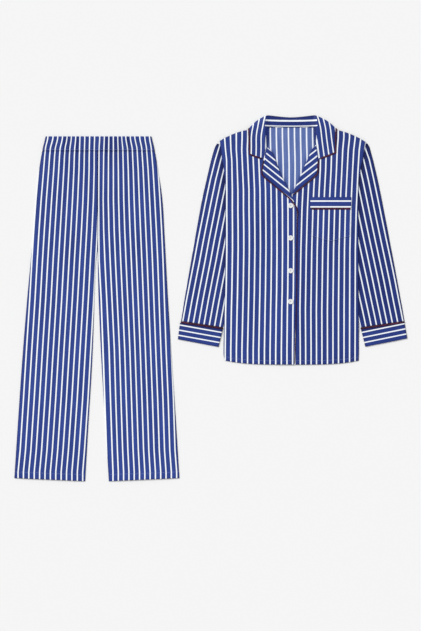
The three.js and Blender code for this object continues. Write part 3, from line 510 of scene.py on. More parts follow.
def add_leg(side):
    """Front: two layers, a rounded loft, gathers and creases high; its edges roll down to the seam.
    Back: the same plan on the floor, its edges rolled up."""
    t = fractions(58, 200)
    across, down, row = leg_plan(side, t)
    width = np.abs(across[:, :1] - across[:, -1:])
    edge = rounded(to_side(t, width), 3.0)
    ends = rounded(row - LEG_TOP, 1.6) * rounded(LEG_END - row, 1.4)
    above = LEG_END - row
    full = ease((row - LEG_TOP + 30) / 90)
    loft = 1.6 * (1 - (2 * t[None, :] - 1) ** 4) * full
    drawn = pleats(across, row - LEG_TOP)
    ruck = 1.35 * gather(side, t[None, :], row - LEG_TOP) + creases(across, down, LEG_CREASES) - 0.9 * drawn
    top = LAYER + CLOTH + loft + ruck + turned_hem(above, LEG_HEM)
    outer, inner = t[None, :] * width, (1 - t)[None, :] * width
    # Pleats, both seams, the band's seam, the hem's edge and the gathered top hold the light back
    shade = (1 - 0.4 * np.clip(drawn, 0, 1) - 0.55 * bell(outer, 3.2)
             - 0.55 * bell(inner, 1.6) - 0.45 * bell(row - LEG_TOP, 2.2)
             - 0.45 * bell(LEG_END - row, 2.0) - 0.09 * (1 - ease((row - 180) / 260)))
    if side == "right":
        shade = shade - 0.12 * ease((row - 840) / 120)
    z = mix(SEAM_HEIGHT, top, edge * (0.6 + 0.4 * ends))
    count = stripes(leg_count(side, across, down), down)
    points = np.stack([TROUSERS["x"] + across, TROUSERS["y"] - down, z], -1)
    flat = (width.max() * 1.02, LEG_END - LEG_TOP + 12)
    cloth("leg_front_" + side, points, count, flat, ["leg_back_" + side], "trouser_front_" + side,
          upward=True, shade=np.clip(shade, 0.3, 1))
    folds = np.clip(-0.7 * creases(-across, down, LEG_CREASES), 0, 0.35) * edge
    under = np.stack([points[..., 0], points[..., 1], 1.0 - edge + folds], -1)
    cloth("leg_back_" + side, under, count, flat, ["floor"], "trouser_back_" + side, upward=False)


for side in SIGN:
    add_leg(side)

# %% [markdown]
# Trousers: elastic waistband
# The band is a folded casing over elastic, sewn to the legs. It could be a plain strip, but laid flat
# it is a ring with a front and a back, so it is a flattened tube, and its front carries the gathers.

# %% Flattened tubes
def flat_tube(a, b, top, t, bottom=0.0, radius=1.4):
    """Loop of points round each row: along the front from a to b and back along the underside.
    Front height is top (rows, columns), both faces meet half way up at the edges in a round turn."""
    ahead = a[:, None, :] + (b - a)[:, None, :] * t[None, :, None]
    width = np.linalg.norm(b - a, axis=1)[:, None]
    turn = rounded(to_side(t, width), radius)
    level = top[:, :1] * 0.5 + top[:, -1:] * 0.5
    middle = (level + bottom) / 2
    front = np.concatenate([ahead, (middle + (top - middle) * turn)[..., None]], -1)
    under = np.concatenate([ahead, (middle + (bottom - middle) * turn)[..., None]], -1)
    return np.concatenate([front, under[:, -2:0:-1], front[:, :1]], 1)


def round_count(front, cross=False):
    """Stripe counts round a tube: they run on past the far edge, or repeat for cross stripes."""
    back = front[:, ::-1] if cross else 2 * front[:, -1:] - front[:, ::-1]
    return np.concatenate([front, back[:, 1:]], 1)


# %% Waistband
BAND_WIDTH = 312.0
BAND_PAST = {"right": 15, "left": 14}  # mm from stripe to stripe past the listed ones
BAND_STRIPES = {
    "across": [-144.7, -129.6, -116, -102.1, -89, -76.6, -63.8, -51.9, -37.7, -23.5, -9.3, 5.8, 19.1, 32.2,
               45, 58, 69.6, 81.2, 94.3, 107.3, 121.5, 136.3, 149.9],
}


def band_count(across, down):
    """Stripe count: the legs' own at the seam, the listed places at the top, and a smooth step
    between them. The left leg's stripe 0 is the band's stripe 12."""
    listed = BAND_STRIPES["across"]
    number = np.arange(len(listed))
    above = np.interp(across, listed, number)
    above = (above + np.minimum(across - listed[0], 0) / BAND_PAST["right"]
             + np.maximum(across - listed[-1], 0) / BAND_PAST["left"])
    seam = LEG_TOP + 0 * across
    below = np.where(across < 0, leg_count("right", across, seam), 12 + leg_count("left", across, seam))
    return mix(above, below, ease(down / BAND_HEIGHT))


t = fractions(150, 310)
down = np.array([0, 0.4, 1.2, 2.6, 5, 9, 14, 20, 26, 31, 35.5, 38.6, 40.6, 41.9, BAND_HEIGHT])
BAND_STITCHED = {"row": 11, "columns": len(t)}
right, left = curve(OUTSEAM, "right")(down), curve(OUTSEAM, "left")(down)
across = mix(-right[:, None], left[:, None], t[None, :])
share = np.abs(across) / np.where(across < 0, right[:, None], left[:, None])
ruck = np.where(across < 0, gather("right", 1 - share, 0, 0.03), gather("left", 1 - share, 0, 0.03))
swell = rounded(down, 5) * rounded(BAND_HEIGHT - down, 5)
stitched = bell(BAND_HEIGHT - 4 - down, 0.8)[:, None]
drawn = pleats(across, 0) * rounded(down, 4)[:, None]
top = (2.4 + swell)[:, None] + 1.2 * ruck * swell[:, None] - 0.3 * stitched - 0.9 * drawn
a = np.stack([TROUSERS["x"] - right, TROUSERS["y"] - down], -1)
b = np.stack([TROUSERS["x"] + left, TROUSERS["y"] - down], -1)
points = flat_tube(a, b, top, t)
count = stripes(round_count(band_count(across, down[:, None] + 0 * across)), down[:, None])
ends = to_side(t, BAND_WIDTH)
shade = 1 - 0.55 * drawn - 0.65 * bell(ends, 3.4) - 0.35 * bell(BAND_HEIGHT - down, 2)[:, None]
shade = np.clip(np.concatenate([shade, shade[:, -2::-1]], 1), 0.3, 1)
cloth("waistband", points, count, (2 * BAND_WIDTH, 2 * BAND_HEIGHT), ["floor"],
      thick=1.1, closed=True, double=True, shade=shade)

# %% [markdown]
# Jacket: the body
# The back lies on the floor, over the tucked sleeves at its sides and the collar's fall at its neck.
# The two fronts lie on it, and the right one laps over the left. A cloth simulation would settle the
# layers, but their heights are known: each layer is the one below plus its thickness.

# %% Jacket sizes
JACKET = {"x": 234.6, "y": 530.8}
# Width and length of each cut laid flat, all round where it is a tube
CUT = {"back": (430, 692), "front": (235, 692), "sleeve": (345, 545), "cuff": (250, 102),
       "lapel": (70, 170), "collar": (540, 90)}
BODY_HALF = 195.0
NECK = {"half": 66.0, "middle": -2.0}
SIDE_TOP = 77.0
SIDE_END = 711.0
HEM_DOWN = 723.3
JACKET_HEM = 12.0
FRONT_TOP = 36.0
SHOULDER = {"across": [66, 118, 130, 145, 164, 182.5, 198, 213],
            "down": [36, 42.5, 43.2, 46.2, 52.4, 60.2, 68, 77]}
SIDE = {
    "down": [SIDE_TOP, 92, 104, 130, 147, 188, 206, 390, 565, 690, SIDE_END],
    "right": [211, 207, 204.5, 202.5, 198.5, 194, 192.5, 193, 195, 198, 194.5],
    "left": [214, 212.5, 209.5, 206, 201, 194.5, 193, 192.5, 193.5, 194.5, 193.5],
}
RIGHT_FRONT = {
    "down": [36, 48, 72, 92, 109, 141, 166, 198, 227, 267, 281, 362, 536, 666, 723],
    "across": [-67.5, -66.5, -68, -71, -57, -45, -35.5, -19.5, -4.5, 12.2, 14.4, 12.9, 11.8, 8.3, 5.7],
}
LEFT_FRONT = {
    "down": [36, 48, 72, 87, 98, 122, 154, 184, 217, 234, 250, 281, 536, 723],
    "across": [64, 62.5, 65, 70.5, 60, 49.5, 35, 23, 7, -1.5, -10, -24.5, -24, -27],
}
SLEEVE = {
    "row": list(range(11)),
    "down": [82, 92, 110, 140, 188, 246, 320, 400, 480, 545, 597.2],
    "right": [217, 222.5, 228.5, 236.5, 247.5, 260.5, 274, 288, 302, 313, 321],
    "left": [219, 225, 230, 238, 249, 261, 275.5, 290.5, 305.5, 317.5, 326.5],
    "inner_down": [84, 98, 124, 160, 210, 268, 341, 420, 499, 563, 615.2],
    "inner": [211, 188, 162, 138, 120, 116, 128, 146, 166, 184, 200],
}
FRONT_EDGE = {"right": line(RIGHT_FRONT, "across"), "left": line(LEFT_FRONT, "across")}
BODY_SIDE = {"right": curve(SIDE, "right"), "left": curve(SIDE, "left")}
SLEEVE_INNER = curve(SLEEVE, "inner", "inner_down")


def hem_down(across):
    """The hem curves up by 12 mm at the sides."""
    return HEM_DOWN - 12 * (np.abs(across) / BODY_HALF) ** 3.5


def back_height(across, down):
    """Underside of the back: raised over the sleeves at the sides and over the collar's fall."""
    sleeve = 1 - ease((SLEEVE_INNER(down) - 8 - np.abs(across)) / 80)
    drop = 1 - ease((down - 592) / 70)
    fall = 1 - ease((down - 58) / 52)
    near = 1 - ease((np.abs(across - NECK["middle"]) - 130) / 40)
    return 2.8 * sleeve * drop + 2.2 * fall * near


def front_top(side, across, down):
    """Upper face of a front: two layers over the back's underside, one more where it laps over."""
    loft = 0.8 * (1 - np.clip(np.abs(across) / BODY_HALF, 0, 1) ** 4)
    past = across - FRONT_EDGE["left"](down)
    closing = ease((past + 30) / 18) if side == "right" else 0
    return back_height(across, down) + LAYER * (1 + closing) + loft + CLOTH


def jacket(across, down, z):
    """Points of the jacket in the frame, from the centre line, the collar's top and the height."""
    return np.stack([JACKET["x"] + across, JACKET["y"] - down, z + 0 * across], -1)


# %% Body plan
BODY_ROWS = np.r_[FRONT_TOP, 36.5, 37.4, 39, 42, np.linspace(47, HEM_DOWN - 22, 104), HEM_DOWN - np.array(
    [18, 13.6, 12.8, 12, 11.2, 10.4, 7, 4, 2.2, 1.2, 0.5, 0])]


def body_plan(t, start, stop):
    """Rows from the shoulder line to the hem that follow both, columns from start to stop."""
    share = (BODY_ROWS - FRONT_TOP)[:, None] / (HEM_DOWN - FRONT_TOP)
    row, side = BODY_ROWS[:, None] + 0 * t, mix(SIDE_TOP, SIDE_END, share) + 0 * t
    across = mix(start(row, side), stop(row, side), t)
    first = mix(start(FRONT_TOP, SIDE_TOP), stop(FRONT_TOP, SIDE_TOP), t)
    shoulder = curve(SHOULDER, "down", "across")(np.abs(first))
    top = np.where(np.abs(first - NECK["middle"]) < NECK["half"], FRONT_TOP, shoulder)
    return across, mix(top, hem_down(across), share), row


# %% Back
BACK_STRIPE = {"repeat": (17.5, REPEAT), "before": (10.0, 7.7)}  # at the neck, and lower down


def back_count(across, down):
    """Stripe count of the back: at the neck its repeat is a little wider and it starts further out."""
    repeat = mix(*BACK_STRIPE["repeat"], ease((down - 100) / 200))
    return (across + mix(*BACK_STRIPE["before"], ease((down - 43) / 120))) / repeat


# Creases of the body and of the back inside the neck, with the same columns as those of the legs
FRONT_CREASES = [
    (-196, 96, -150, 230, 8, 0.55), (-186, 130, -120, 300, 10, -0.45), (-170, 210, -100, 420, 14, 0.5),
    (-120, 60, -104, 190, 9, -0.4), (-30, 300, -90, 380, 9, 0.4), (-24, 400, -80, 470, 9, -0.35),
    (-150, 420, -140, 690, 16, 0.5), (-90, 470, -100, 715, 13, -0.45), (-45, 560, -52, 716, 12, 0.45),
    (196, 96, 160, 210, 8, 0.55), (186, 135, 140, 260, 10, -0.45), (120, 60, 112, 190, 9, -0.4),
    (176, 300, 150, 470, 13, 0.5), (40, 330, 70, 430, 10, 0.4), (130, 400, 140, 700, 15, -0.45),
    (80, 430, 92, 715, 14, 0.5), (35, 540, 40, 716, 11, -0.4), (-165, 560, -178, 700, 10, -0.4),
    (172, 520, 180, 700, 10, 0.45),
]
BACK_CREASES = [
    (-42, 55, -30, 190, 6, 0.5), (-18, 70, -14, 230, 7, -0.4), (10, 60, 6, 200, 6, 0.5),
    (34, 60, 24, 170, 6, -0.45), (-60, 60, -46, 130, 6, -0.4), (50, 60, 40, 120, 6, 0.4),
]
t = fractions(92, 2 * BODY_HALF)
across, down, row = body_plan(t, lambda _, side: -BODY_SIDE["right"](side),
                              lambda _, side: BODY_SIDE["left"](side))
under = back_height(across, down)
edge = rounded(to_side(t, 2 * BODY_HALF), 3.0)
folds = np.clip(0.6 * creases(across, down, FRONT_CREASES), 0, 0.35) * ease((down - 250) / 60)
z = under + 0.1 + 1.0 * (1 - edge) + np.maximum(creases(across, down, BACK_CREASES), -0.1) + folds
count = stripes(back_count(across, down), down)
inside = np.minimum(across - FRONT_EDGE["right"](down), FRONT_EDGE["left"](down) - across)
shade = 1 - 0.5 * np.exp(-np.clip(inside, 0, None) / 5.5) - 0.3 * np.exp(-np.clip(down - 36, 0, None) / 3)
cloth("body_back", jacket(across, down, z), count, CUT["back"], ["sleeve_right", "sleeve_left"],
      "jacket_back", upward=False, shade=np.clip(shade, 0.35, 1))

# %% Fronts
# Across of some white stripes of each front, at a few heights
FRONT_STRIPES = {
    "right": {"down": [66, 101, 130, 217, 275, 333, 391, 507, 565, 681],
              0: [-194.9, -192.3, -189.1, -188.6, -188.7, -188.4, -188.5, -190.3, -192, -193.2],
              3: [-144.1, -145.3, -144.1, -140.3, -140.3, -139.4, -139.3, -140.9, -142.1, -144.7],
              12: [0.8, -1.0, 0.8, 3.6, 4.9, 4.9, 5.1, 4.3, 3.1, 2.1]},
    "left": {"down": [66, 101, 159, 217, 275, 391, 565, 681],
             0: [35.9, 35.7, 35.5, 32.0, 29.3, 26.2, 23.5, 24.4],
             4: [101.5, 99.5, 98.0, 94.8, 92.4, 89.3, 86.9, 87.2],
             10: [200, 195.2, 191.7, 189.1, 186.5, 183.9, 183.5, 183.3]},
}


def front_count(side, across, down):
    """Stripe count of a front: straight between three listed stripes, and on past them."""
    table = FRONT_STRIPES[side]
    numbers = [number for number in table if number != "down"]
    low, middle, high = (line(table, number)(down) for number in numbers)
    near = numbers[1] * (across - low) / (middle - low)
    far = numbers[1] + (numbers[2] - numbers[1]) * (across - middle) / (high - middle)
    return np.where(across < middle, near, far)


def add_front(side):
    """Upper face of the front with its creases. The side edge and hem roll down to the back."""
    t = fractions(58, 200)
    across, down, row = body_plan(t, lambda _, low: SIGN[side] * BODY_SIDE[side](low),
                                  lambda place, _: FRONT_EDGE[side](place) + 0 * place)
    width = np.abs(across[:, :1] - across[:, -1:])
    above = hem_down(across) - down
    seam = back_height(across, down) + SEAM_HEIGHT
    calm = ease((np.abs(across - FRONT_EDGE[side](down)) - 14) / 20)
    top = (front_top(side, across, down) + turned_hem(above, JACKET_HEM)
           + calm * creases(across, down, FRONT_CREASES))
    z = mix(seam, top, rounded(t[None, :] * width, 3.0) * (0.4 + 0.6 * rounded(above, 1.4)))
    z = z - 0.5 * (1 - rounded((1 - t)[None, :] * width, 1.5))
    z = z - 1.0 * (1 - rounded(row - FRONT_TOP, 5.0))
    count = stripes(front_count(side, across, down), down)
    shade = (1 - 0.4 * bell(t[None, :] * width, 2.4) - 0.45 * bell(above, 2.6)
             - 0.35 * bell(row - FRONT_TOP, 2.5) - 0.1 * (1 - ease((above - 14) / 10)))
    cloth("front_" + side, jacket(across, down, z), count, CUT["front"], ["body_back"],
          "jacket_front_" + side, upward=True, shade=np.clip(shade, 0.3, 1))


for side in SIGN:
    add_front(side)

# %% [markdown]
# Jacket: sleeves and cuffs
# A sleeve is one piece folded into a tube, and the cuff is a doubled band on its end. Laid flat, the
# sleeve runs down beside the body and its inner part is tucked beneath it, so it is a flattened tube
# whose far edge lies under the back. Its stripes run along the outer edge, and the cuff's run round.

# %% Sleeves
SLEEVE_STRIPE = {
    "down": [82, 100.6, 129.6, 187.6, 245.6, 303.6, 361.6, 419.6, 477.6, 535.6, 620],
    "right": [-207.6, -213.3, -222, -236.5, -248.7, -260.3, -271.9, -282.6, -294, -305.2, -320.4],
    "left": [192, 198.4, 208.5, 221.6, 233.7, 245.6, 257.8, 270.3, 282.5, 293.8, 311],
}
SLEEVE_REPEAT = {"right": (15.8, 15.8), "left": (16.2, 15.8)}  # from the cap and near the cuff
SLEEVE_CREASES = [
    (-206, 150, -228, 330, 8, 0.5), (-232, 180, -262, 420, 10, -0.45), (-214, 320, -262, 560, 10, 0.5),
    (-250, 480, -300, 590, 8, -0.4), (-210, 470, -240, 590, 8, 0.4), (206, 150, 226, 320, 8, 0.5),
    (230, 190, 262, 430, 10, -0.45), (214, 330, 262, 560, 10, 0.5), (252, 470, 304, 590, 8, -0.4),
    (210, 480, 238, 590, 8, 0.4), (200, 230, 214, 300, 6, -0.35), (-200, 230, -214, 300, 6, -0.35),
]


def add_sleeve(side):
    """Tube from the cap to the cuff seam. Its front swells softly over the part that shows."""
    station = np.r_[np.linspace(0, 9.9, 96), 9.94, 9.97, 10]
    t = fractions(54, 150)
    outer = np.stack([SIGN[side] * curve(SLEEVE, side, "row")(station),
                      curve(SLEEVE, "down", "row")(station)], -1)
    inner = np.stack([SIGN[side] * curve(SLEEVE, "inner", "row")(station),
                      curve(SLEEVE, "inner_down", "row")(station)], -1)
    place = outer[:, None, :] + (inner - outer)[:, None, :] * t[None, :, None]
    across, down = place[..., 0], place[..., 1]
    hidden = np.abs(across) - BODY_SIDE[side](down)
    past = ease((outer[:, 1:] - 82) / 100)
    shown = np.abs(outer[:, :1]) - BODY_SIDE[side](outer[:, 1:])
    swell = np.sin(np.pi * np.clip((np.abs(outer[:, :1]) - np.abs(across)) / shown, 0, 1))
    ruck = creases(across, down, SLEEVE_CREASES) * ease(hidden / 8)
    end = rounded((10 - station) * 51, 2.0)[:, None]
    top = 2.3 + (past * swell + ruck) * mix(0.3, 1, end) - 0.5 * (1 - end)
    points = jacket(*np.moveaxis(flat_tube(outer, inner, top, t), -1, 0))
    repeat = mix(*SLEEVE_REPEAT[side], ease((down - 430) / 180))
    number = SIGN[side] * (line(SLEEVE_STRIPE, side)(down) - across) / repeat
    count = stripes(round_count(number), down[:, :1])
    high = 1 - ease((down - 210) / 130)
    tucked = bell(np.clip(hidden, 0, None), 8 + 6 * high) * (1 - ease((down - 560) / 60))
    reach = np.abs(outer[:, :1]) - np.abs(across)
    shade = 1 - (0.62 + 0.13 * high) * tucked - 0.62 * bell(reach, 3.2) - 0.3 * (1 - end)
    shade = np.clip(np.concatenate([shade, np.ones_like(shade)[:, 1:]], 1), 0.25, 1)
    cloth("sleeve_" + side, points, count, CUT["sleeve"], ["floor"], closed=True, shade=shade)


for side in SIGN:
    add_sleeve(side)

# %% Cuffs
CUFF_WIDE = 122.0
CUFF_HIGH = 50.0
CUFF = {
    "right": {"top": [(-324.4, 602.4), (-200, 620.8)], "end": [(-330.4, 649.5), (-212.6, 671.8)],
              "stripe": (-294.4, 613.6), "slope": 0.178, "repeat": 15.2},
    "left": {"top": [(326.7, 602.4), (200.5, 620.8)], "end": [(334.8, 647.4), (213, 671)],
             "stripe": (245.1, 621.1), "slope": -0.205, "repeat": 15.4},
}


def add_cuff(side):
    """Ring of doubled cloth. Stripe count: distance below the first stripe's slanted line."""
    cuff = CUFF[side]
    share = np.r_[0, 0.01, 0.03, 0.06, np.linspace(0.1, 0.9, 11), 0.94, 0.97, 0.99, 1]
    top, end = np.array(cuff["top"], float), np.array(cuff["end"], float)
    a, b = (top[i] + (end[i] - top[i]) * share[:, None] for i in (0, 1))
    t = fractions(44, CUFF_WIDE)
    place = a[:, None, :] + (b - a)[:, None, :] * t[None, :, None]
    across, down = place[..., 0], place[..., 1]
    ends = (rounded(share * CUFF_HIGH, 2.2) * rounded((1 - share) * CUFF_HIGH, 1.2))[:, None]
    soft = creases(across, down, [(a[0, 0], 630, b[0, 0], 640, 12, 0.3)])
    height = 2.3 + ends + soft * ends
    sides = to_side(t, CUFF_WIDE)
    shade = (1 - 0.6 * bell(sides, 3.2) - 0.85 * bell(share * CUFF_HIGH, 4.6)[:, None]
             - 0.3 * bell((1 - share) * CUFF_HIGH, 2.0)[:, None])
    shade = np.clip(np.concatenate([shade, shade[:, -2::-1]], 1), 0.3, 1)
    points = jacket(*np.moveaxis(flat_tube(a, b, height, t, radius=1.6), -1, 0))
    across0, down0 = cuff["stripe"]
    number = (down - down0 - cuff["slope"] * (across - across0)) / cuff["repeat"]
    count = round_count(number, cross=True)
    count = np.stack([count, np.repeat(np.linspace(0, 15, count.shape[1])[None, :], len(share), 0)], -1)
    cloth("cuff_" + side, points, count, CUT["cuff"], ["floor"], thick=1.1, closed=True,
          double=True, shade=shade)


for side in SIGN:
    add_cuff(side)

# %% [markdown]
# Jacket: lapels
# The facing of each front turns out along the roll line and shows as the lapel, so its stripes lean
# the other way. It could be part of the front's surface, folded over. It is a surface of its own
# here, which wraps round the front's edge at the roll line, because the fold then stays crisp.

# %% Lapels
LAPEL = {
    "right": {
        "roll": [(-70.2, 95), (-64, 101.5), (-57, 109), (-50.5, 125), (-45, 141), (-40, 154), (-35.5, 166),
                 (-28, 182), (-19.5, 198), (-12, 212.5), (-4.5, 227), (3.6, 246), (6.8, 253.6)],
        "edge": [(-78.4, 127.6), (-81.2, 140), (-84, 152), (-85.2, 164), (-84.2, 172), (-79.5, 177.6),
                 (-67, 188.5), (-50, 202.5), (-34, 215.8), (-19, 228.5), (-7, 238.6), (1.4, 246.8),
                 (5.6, 254)],
        "slope": -0.8, "first": 150.8, "repeat": 18.85,
    },
    "left": {
        "roll": [(69.6, 90.5), (65, 94), (60, 98), (54.5, 110), (49.5, 122), (44.5, 133), (40, 143),
                 (35, 154), (29, 169.5), (23, 184), (15, 200.7), (7, 217), (2.2, 227)],
        "edge": [(75, 125), (74.8, 137.5), (74.4, 149), (73.8, 160.5), (72.4, 169), (67.5, 174.8),
                 (56, 185.2), (45, 194), (34, 202.9), (24.4, 211), (15.5, 218.4), (7.6, 224.8), (2.8, 229.5)],
        "slope": 0.78, "first": 156.3, "repeat": 19.1,
    },
}


def refine(rows, times):
    """The same line with times as many points: straight between the listed ones."""
    rows = np.array(rows, float)
    place = np.linspace(0, len(rows) - 1, (len(rows) - 1) * times + 1)
    return np.stack([np.interp(place, np.arange(len(rows)), rows[:, i]) for i in range(rows.shape[1])], -1)


def add_lapel(side):
    """From the wrap round the roll line (first columns, falling to the front's underside) out to
    the edge. The lapel lifts softly near the roll and lies down at its edge."""
    lapel = LAPEL[side]
    roll, edge = refine(lapel["roll"], 6), refine(lapel["edge"], 6)
    reach = np.linalg.norm(edge - roll, axis=1)[:, None]
    out = np.linspace(0, 1, 22)[None, :]
    wrap = np.array([-0.2, -1.0, -1.3, -1.0])[None, :] * np.minimum(1, reach / 8)
    distance = np.c_[wrap, out * reach]
    toward = (edge - roll) / np.maximum(reach, 0.1)
    place = roll[:, None, :] + toward[:, None, :] * distance[..., None]
    across, down = place[..., 0], place[..., 1]
    on = front_top(side, across, down)
    body = GAP + CLOTH + 0.9 * np.exp(-np.clip(distance, 0, None) / 9) * np.minimum(1, reach / 20)
    fall = np.r_[2.9, 2.3, 1.3, 0.45, np.zeros(22)][None, :] * np.minimum(1, reach / 5)
    edge_roll = 0.9 * (1 - rounded(reach - distance, 1.2))
    z = on + body - fall - edge_roll
    number = (down + lapel["slope"] * across - lapel["first"]) / lapel["repeat"]
    count = stripes(number, across - lapel["slope"] * down)
    shade = (1 - 0.35 * bell(np.clip(reach - distance, 0, None), 1.8)
             - 0.4 * bell(distance + 0.6, 1.3))
    cloth("lapel_" + side, jacket(across, down, z), count, CUT["lapel"], ["front_" + side],
          thick=0.6, upward=True, double=True, shade=np.clip(shade, 0.4, 1))


for side in SIGN:
    add_lapel(side)

# %% [markdown]
# Jacket: collar
# The collar stands up from the neck seam, rolls over and falls on the shoulders in two wings. At the
# back the fall is turned under and hidden. It could be bent from a flat strip with a modifier, but
# here each station along it has its roll, edge and neck seam, and the cloth runs smoothly over them.

# %% Collar
# Stations from the right notch to the middle of the back, as in a pattern maker's table:
# roll, edge and neck as across and down, over (1 on the fronts, 0 under the back), lift and bow
COLLAR = np.array([
    (-83.2, 125.5, -119.3, 112.6, -81, 126.2, 1, 0.2, 0), (-81.3, 117.5, -119.9, 106.5, -79, 118, 1, 0.5, 0),
    (-78.8, 106, -120.3, 97.5, -76.3, 106.4, 1, 1, 0), (-76, 93.5, -120.8, 86, -72.2, 93.5, 1, 2, 0),
    (-77.6, 79, -121.2, 73, -69.6, 78, 1, 2.8, 0), (-78.6, 63, -122.1, 61, -67.8, 63, 1, 3.2, 0),
    (-78.6, 47, -122.4, 51.3, -67, 52, 1, 3.2, 0.3), (-78, 31, -122.7, 45.4, -66.6, 43, 1, 3, 0.8),
    (-76.9, 16.5, -122.9, 41, -66, 37.6, 1, 2.4, 2), (-75.1, 6.5, -123, 38.4, -64.5, 34.6, 0.8, 1.6, 3.6),
    (-72.8, 1.4, -123, 37.4, -61.5, 33.6, 0.45, 0.8, 4.4),
    (-69.3, 0.5, -121.4, 39.2, -57.5, 33.4, 0.12, 0, 3.6),
    (-63.5, 0.7, -114.5, 44, -52.5, 33.4, 0, 0, 2), (-54.8, 1.6, -99.5, 48.6, -45, 33.4, 0, 0, 0.6),
    (-42, 3.1, -72.5, 50.2, -34.8, 33.4, 0, 0, 0), (-23.2, 4.9, -36.3, 50.8, -20.3, 33.7, 0, 0, 0),
    (-2, 5.9, -2, 51, -2, 33.9, 0, 0, 0)])
# The left side's own values of roll, edge and neck across, and of its corner's three places down
LEFT_CORNER = [107.6, 101.5, 94]
COLLAR_LEFT = np.array([
    (77.6, 124.6, 75.4), (76.9, 124.7, 74.7), (76.1, 124.8, 73.7), (75, 124.8, 71.6), (73.6, 124.8, 65.6),
    (74.4, 124.7, 63.8), (74.4, 125.6, 63), (74, 126.2, 62.6), (73, 126.4, 62), (71.3, 126.6, 60.5),
    (69, 126.6, 57.5), (65.4, 125, 53.5), (59.6, 117.5, 48.5), (51, 101, 41), (38, 70, 30.8),
    (19.2, 33, 16.3)])
ROLL_RADIUS = 0.9
COLLAR_THICK = 1.1


def collar_rows(times):
    """All stations from notch to notch, with times as many rows, on smooth curves through them."""
    left = COLLAR[:-1].copy()
    left[:, [0, 2, 4]] = COLLAR_LEFT
    left[:3, 3] = LEFT_CORNER
    rows = np.r_[COLLAR, left[::-1]]
    table = {"row": np.arange(len(rows)), **{i: rows[:, i] for i in range(9)}}
    place = np.linspace(0, len(rows) - 1, (len(rows) - 1) * times + 1)
    return np.stack([curve(table, i, "row")(place) for i in range(9)], -1)


def collar_point(rows, length):
    """Middle of the collar's wall at a length from the roll, below 0 on the stand, and the plan's
    directions to the edge and outwards.
    The two straight sides are joined by a hyperbola of ROLL_RADIUS at the roll."""
    roll, edge, neck = rows[:, None, 0:2], rows[:, None, 2:4], rows[:, None, 4:6]
    over, lift, bow = rows[:, 6:7], rows[:, 7:8], rows[:, 8:9]
    fall = np.linalg.norm(edge - roll, axis=-1)
    stand = np.linalg.norm(neck - roll, axis=-1)
    to_edge, to_neck = (edge - roll) / fall[..., None], (neck - roll) / stand[..., None]
    side = np.where(rows[:, None, 0] < NECK["middle"], -1, 1)
    outwards = np.stack([side * to_edge[..., 1], -side * to_edge[..., 0]], -1)
    soft = np.hypot(length, ROLL_RADIUS)
    on_fall, on_stand = (length + soft) / 2, (soft - length) / 2
    belly = bow * np.sin(np.pi * np.clip(on_fall / fall, 0, 1))
    place = roll + to_edge * on_fall[..., None] + to_neck * on_stand[..., None] + outwards * belly[..., None]
    across, down = place[..., 0], place[..., 1]
    top = front_top("left", across, down) + GAP + CLOTH / 2
    fall_left, stand_left = 1 - np.clip(on_fall / fall, 0, 1), 1 - np.clip(on_stand / stand, 0, 1)
    fall_height = mix(CLOTH / 2 + 0.1, top + lift * fall_left ** 2, over)
    low = mix(2.7, 2.0, stand_left)
    floor_side = mix(back_height(across, down) + 1.9, top + lift * stand_left, stand_left)
    stand_height = mix(low, floor_side, over)
    return across, down, mix(stand_height, fall_height, (1 + length / soft) / 2), (to_edge, outwards)


COLLAR_REPEAT = 14.4
FIRST_STRIPE = {"down": [0, 8, 25, 43, 66, 89, 112, 128],
                "from_roll": [3.8, 4.7, 7.8, 9.6, 11.9, 13.4, 11.8, 11]}
# Where the white stripe nearest the roll lies on each wing, and the one before it at the roll itself
WING_STRIPE = {
    "down": [1.5, 12.6, 23.7, 34.8, 45.9, 57, 68, 79, 90, 101, 112.5, 124],
    "right": [77.4, 80.3, 82.8, 84.7, 87, 88.5, 89.2, 89.2, 89, 89.2, 89.6, 90.3],
    "right_before": [61, 64, 67, 69.5, 72, 74, 75.4, 76, 76, 76, 76.4, 77],
    "left": [73.7, 77.3, 80.1, 82.6, 84.2, 85.4, 86.6, 88.1, 89.6, 91.2, 92.8, 94.1],
    "left_before": [58, 62, 65, 68, 70, 71.5, 72.3, 73.4, 75.1, 76.4, 77.8, 79.2],
}
WING_REPEAT = 14.2


def wing_count(across, down):
    """Stripe count of the wings: distance from the listed stripe, straight out to the edge, and
    between it and the one before towards the roll."""
    side = across < NECK["middle"]
    near = np.where(side, line(WING_STRIPE, "right")(down), line(WING_STRIPE, "left")(down))
    before = np.where(side, line(WING_STRIPE, "right_before")(down), line(WING_STRIPE, "left_before")(down))
    off = np.abs(across) - near
    return np.where(off > 0, off / WING_REPEAT, off / (near - before))


STAND_STRIPE = {"down": 15.6, "repeat": 14.8, "end": 34, "sag": 1.6}


def stand_count(rows, across, down, length):
    """Stripe count of the stand: at the back two straight stripes that sag in the middle, one
    repeat apart, at counts 1 and 0, and at the sides one stripe along the roll at count -1, the
    fall's next one, which tapers to nothing where the roll closes. All else stays in the blue."""
    sag = STAND_STRIPE["sag"] * (1 - np.clip(np.abs(across - NECK["middle"]) / 72, 0, 1) ** 2)
    below = (down - sag - STAND_STRIPE["down"]) / STAND_STRIPE["repeat"]
    back = 1 - np.where(below > 0, below, 0.55 * below)
    first = line(FIRST_STRIPE, "from_roll")(rows[:, 1:2])
    taper = np.clip(ease((rows[:, 1:2] - 50) / 30), 0.02, 1)
    held = -1 + np.minimum(np.abs((length - first) / COLLAR_REPEAT + 1) / taper, 0.5)
    return back, held


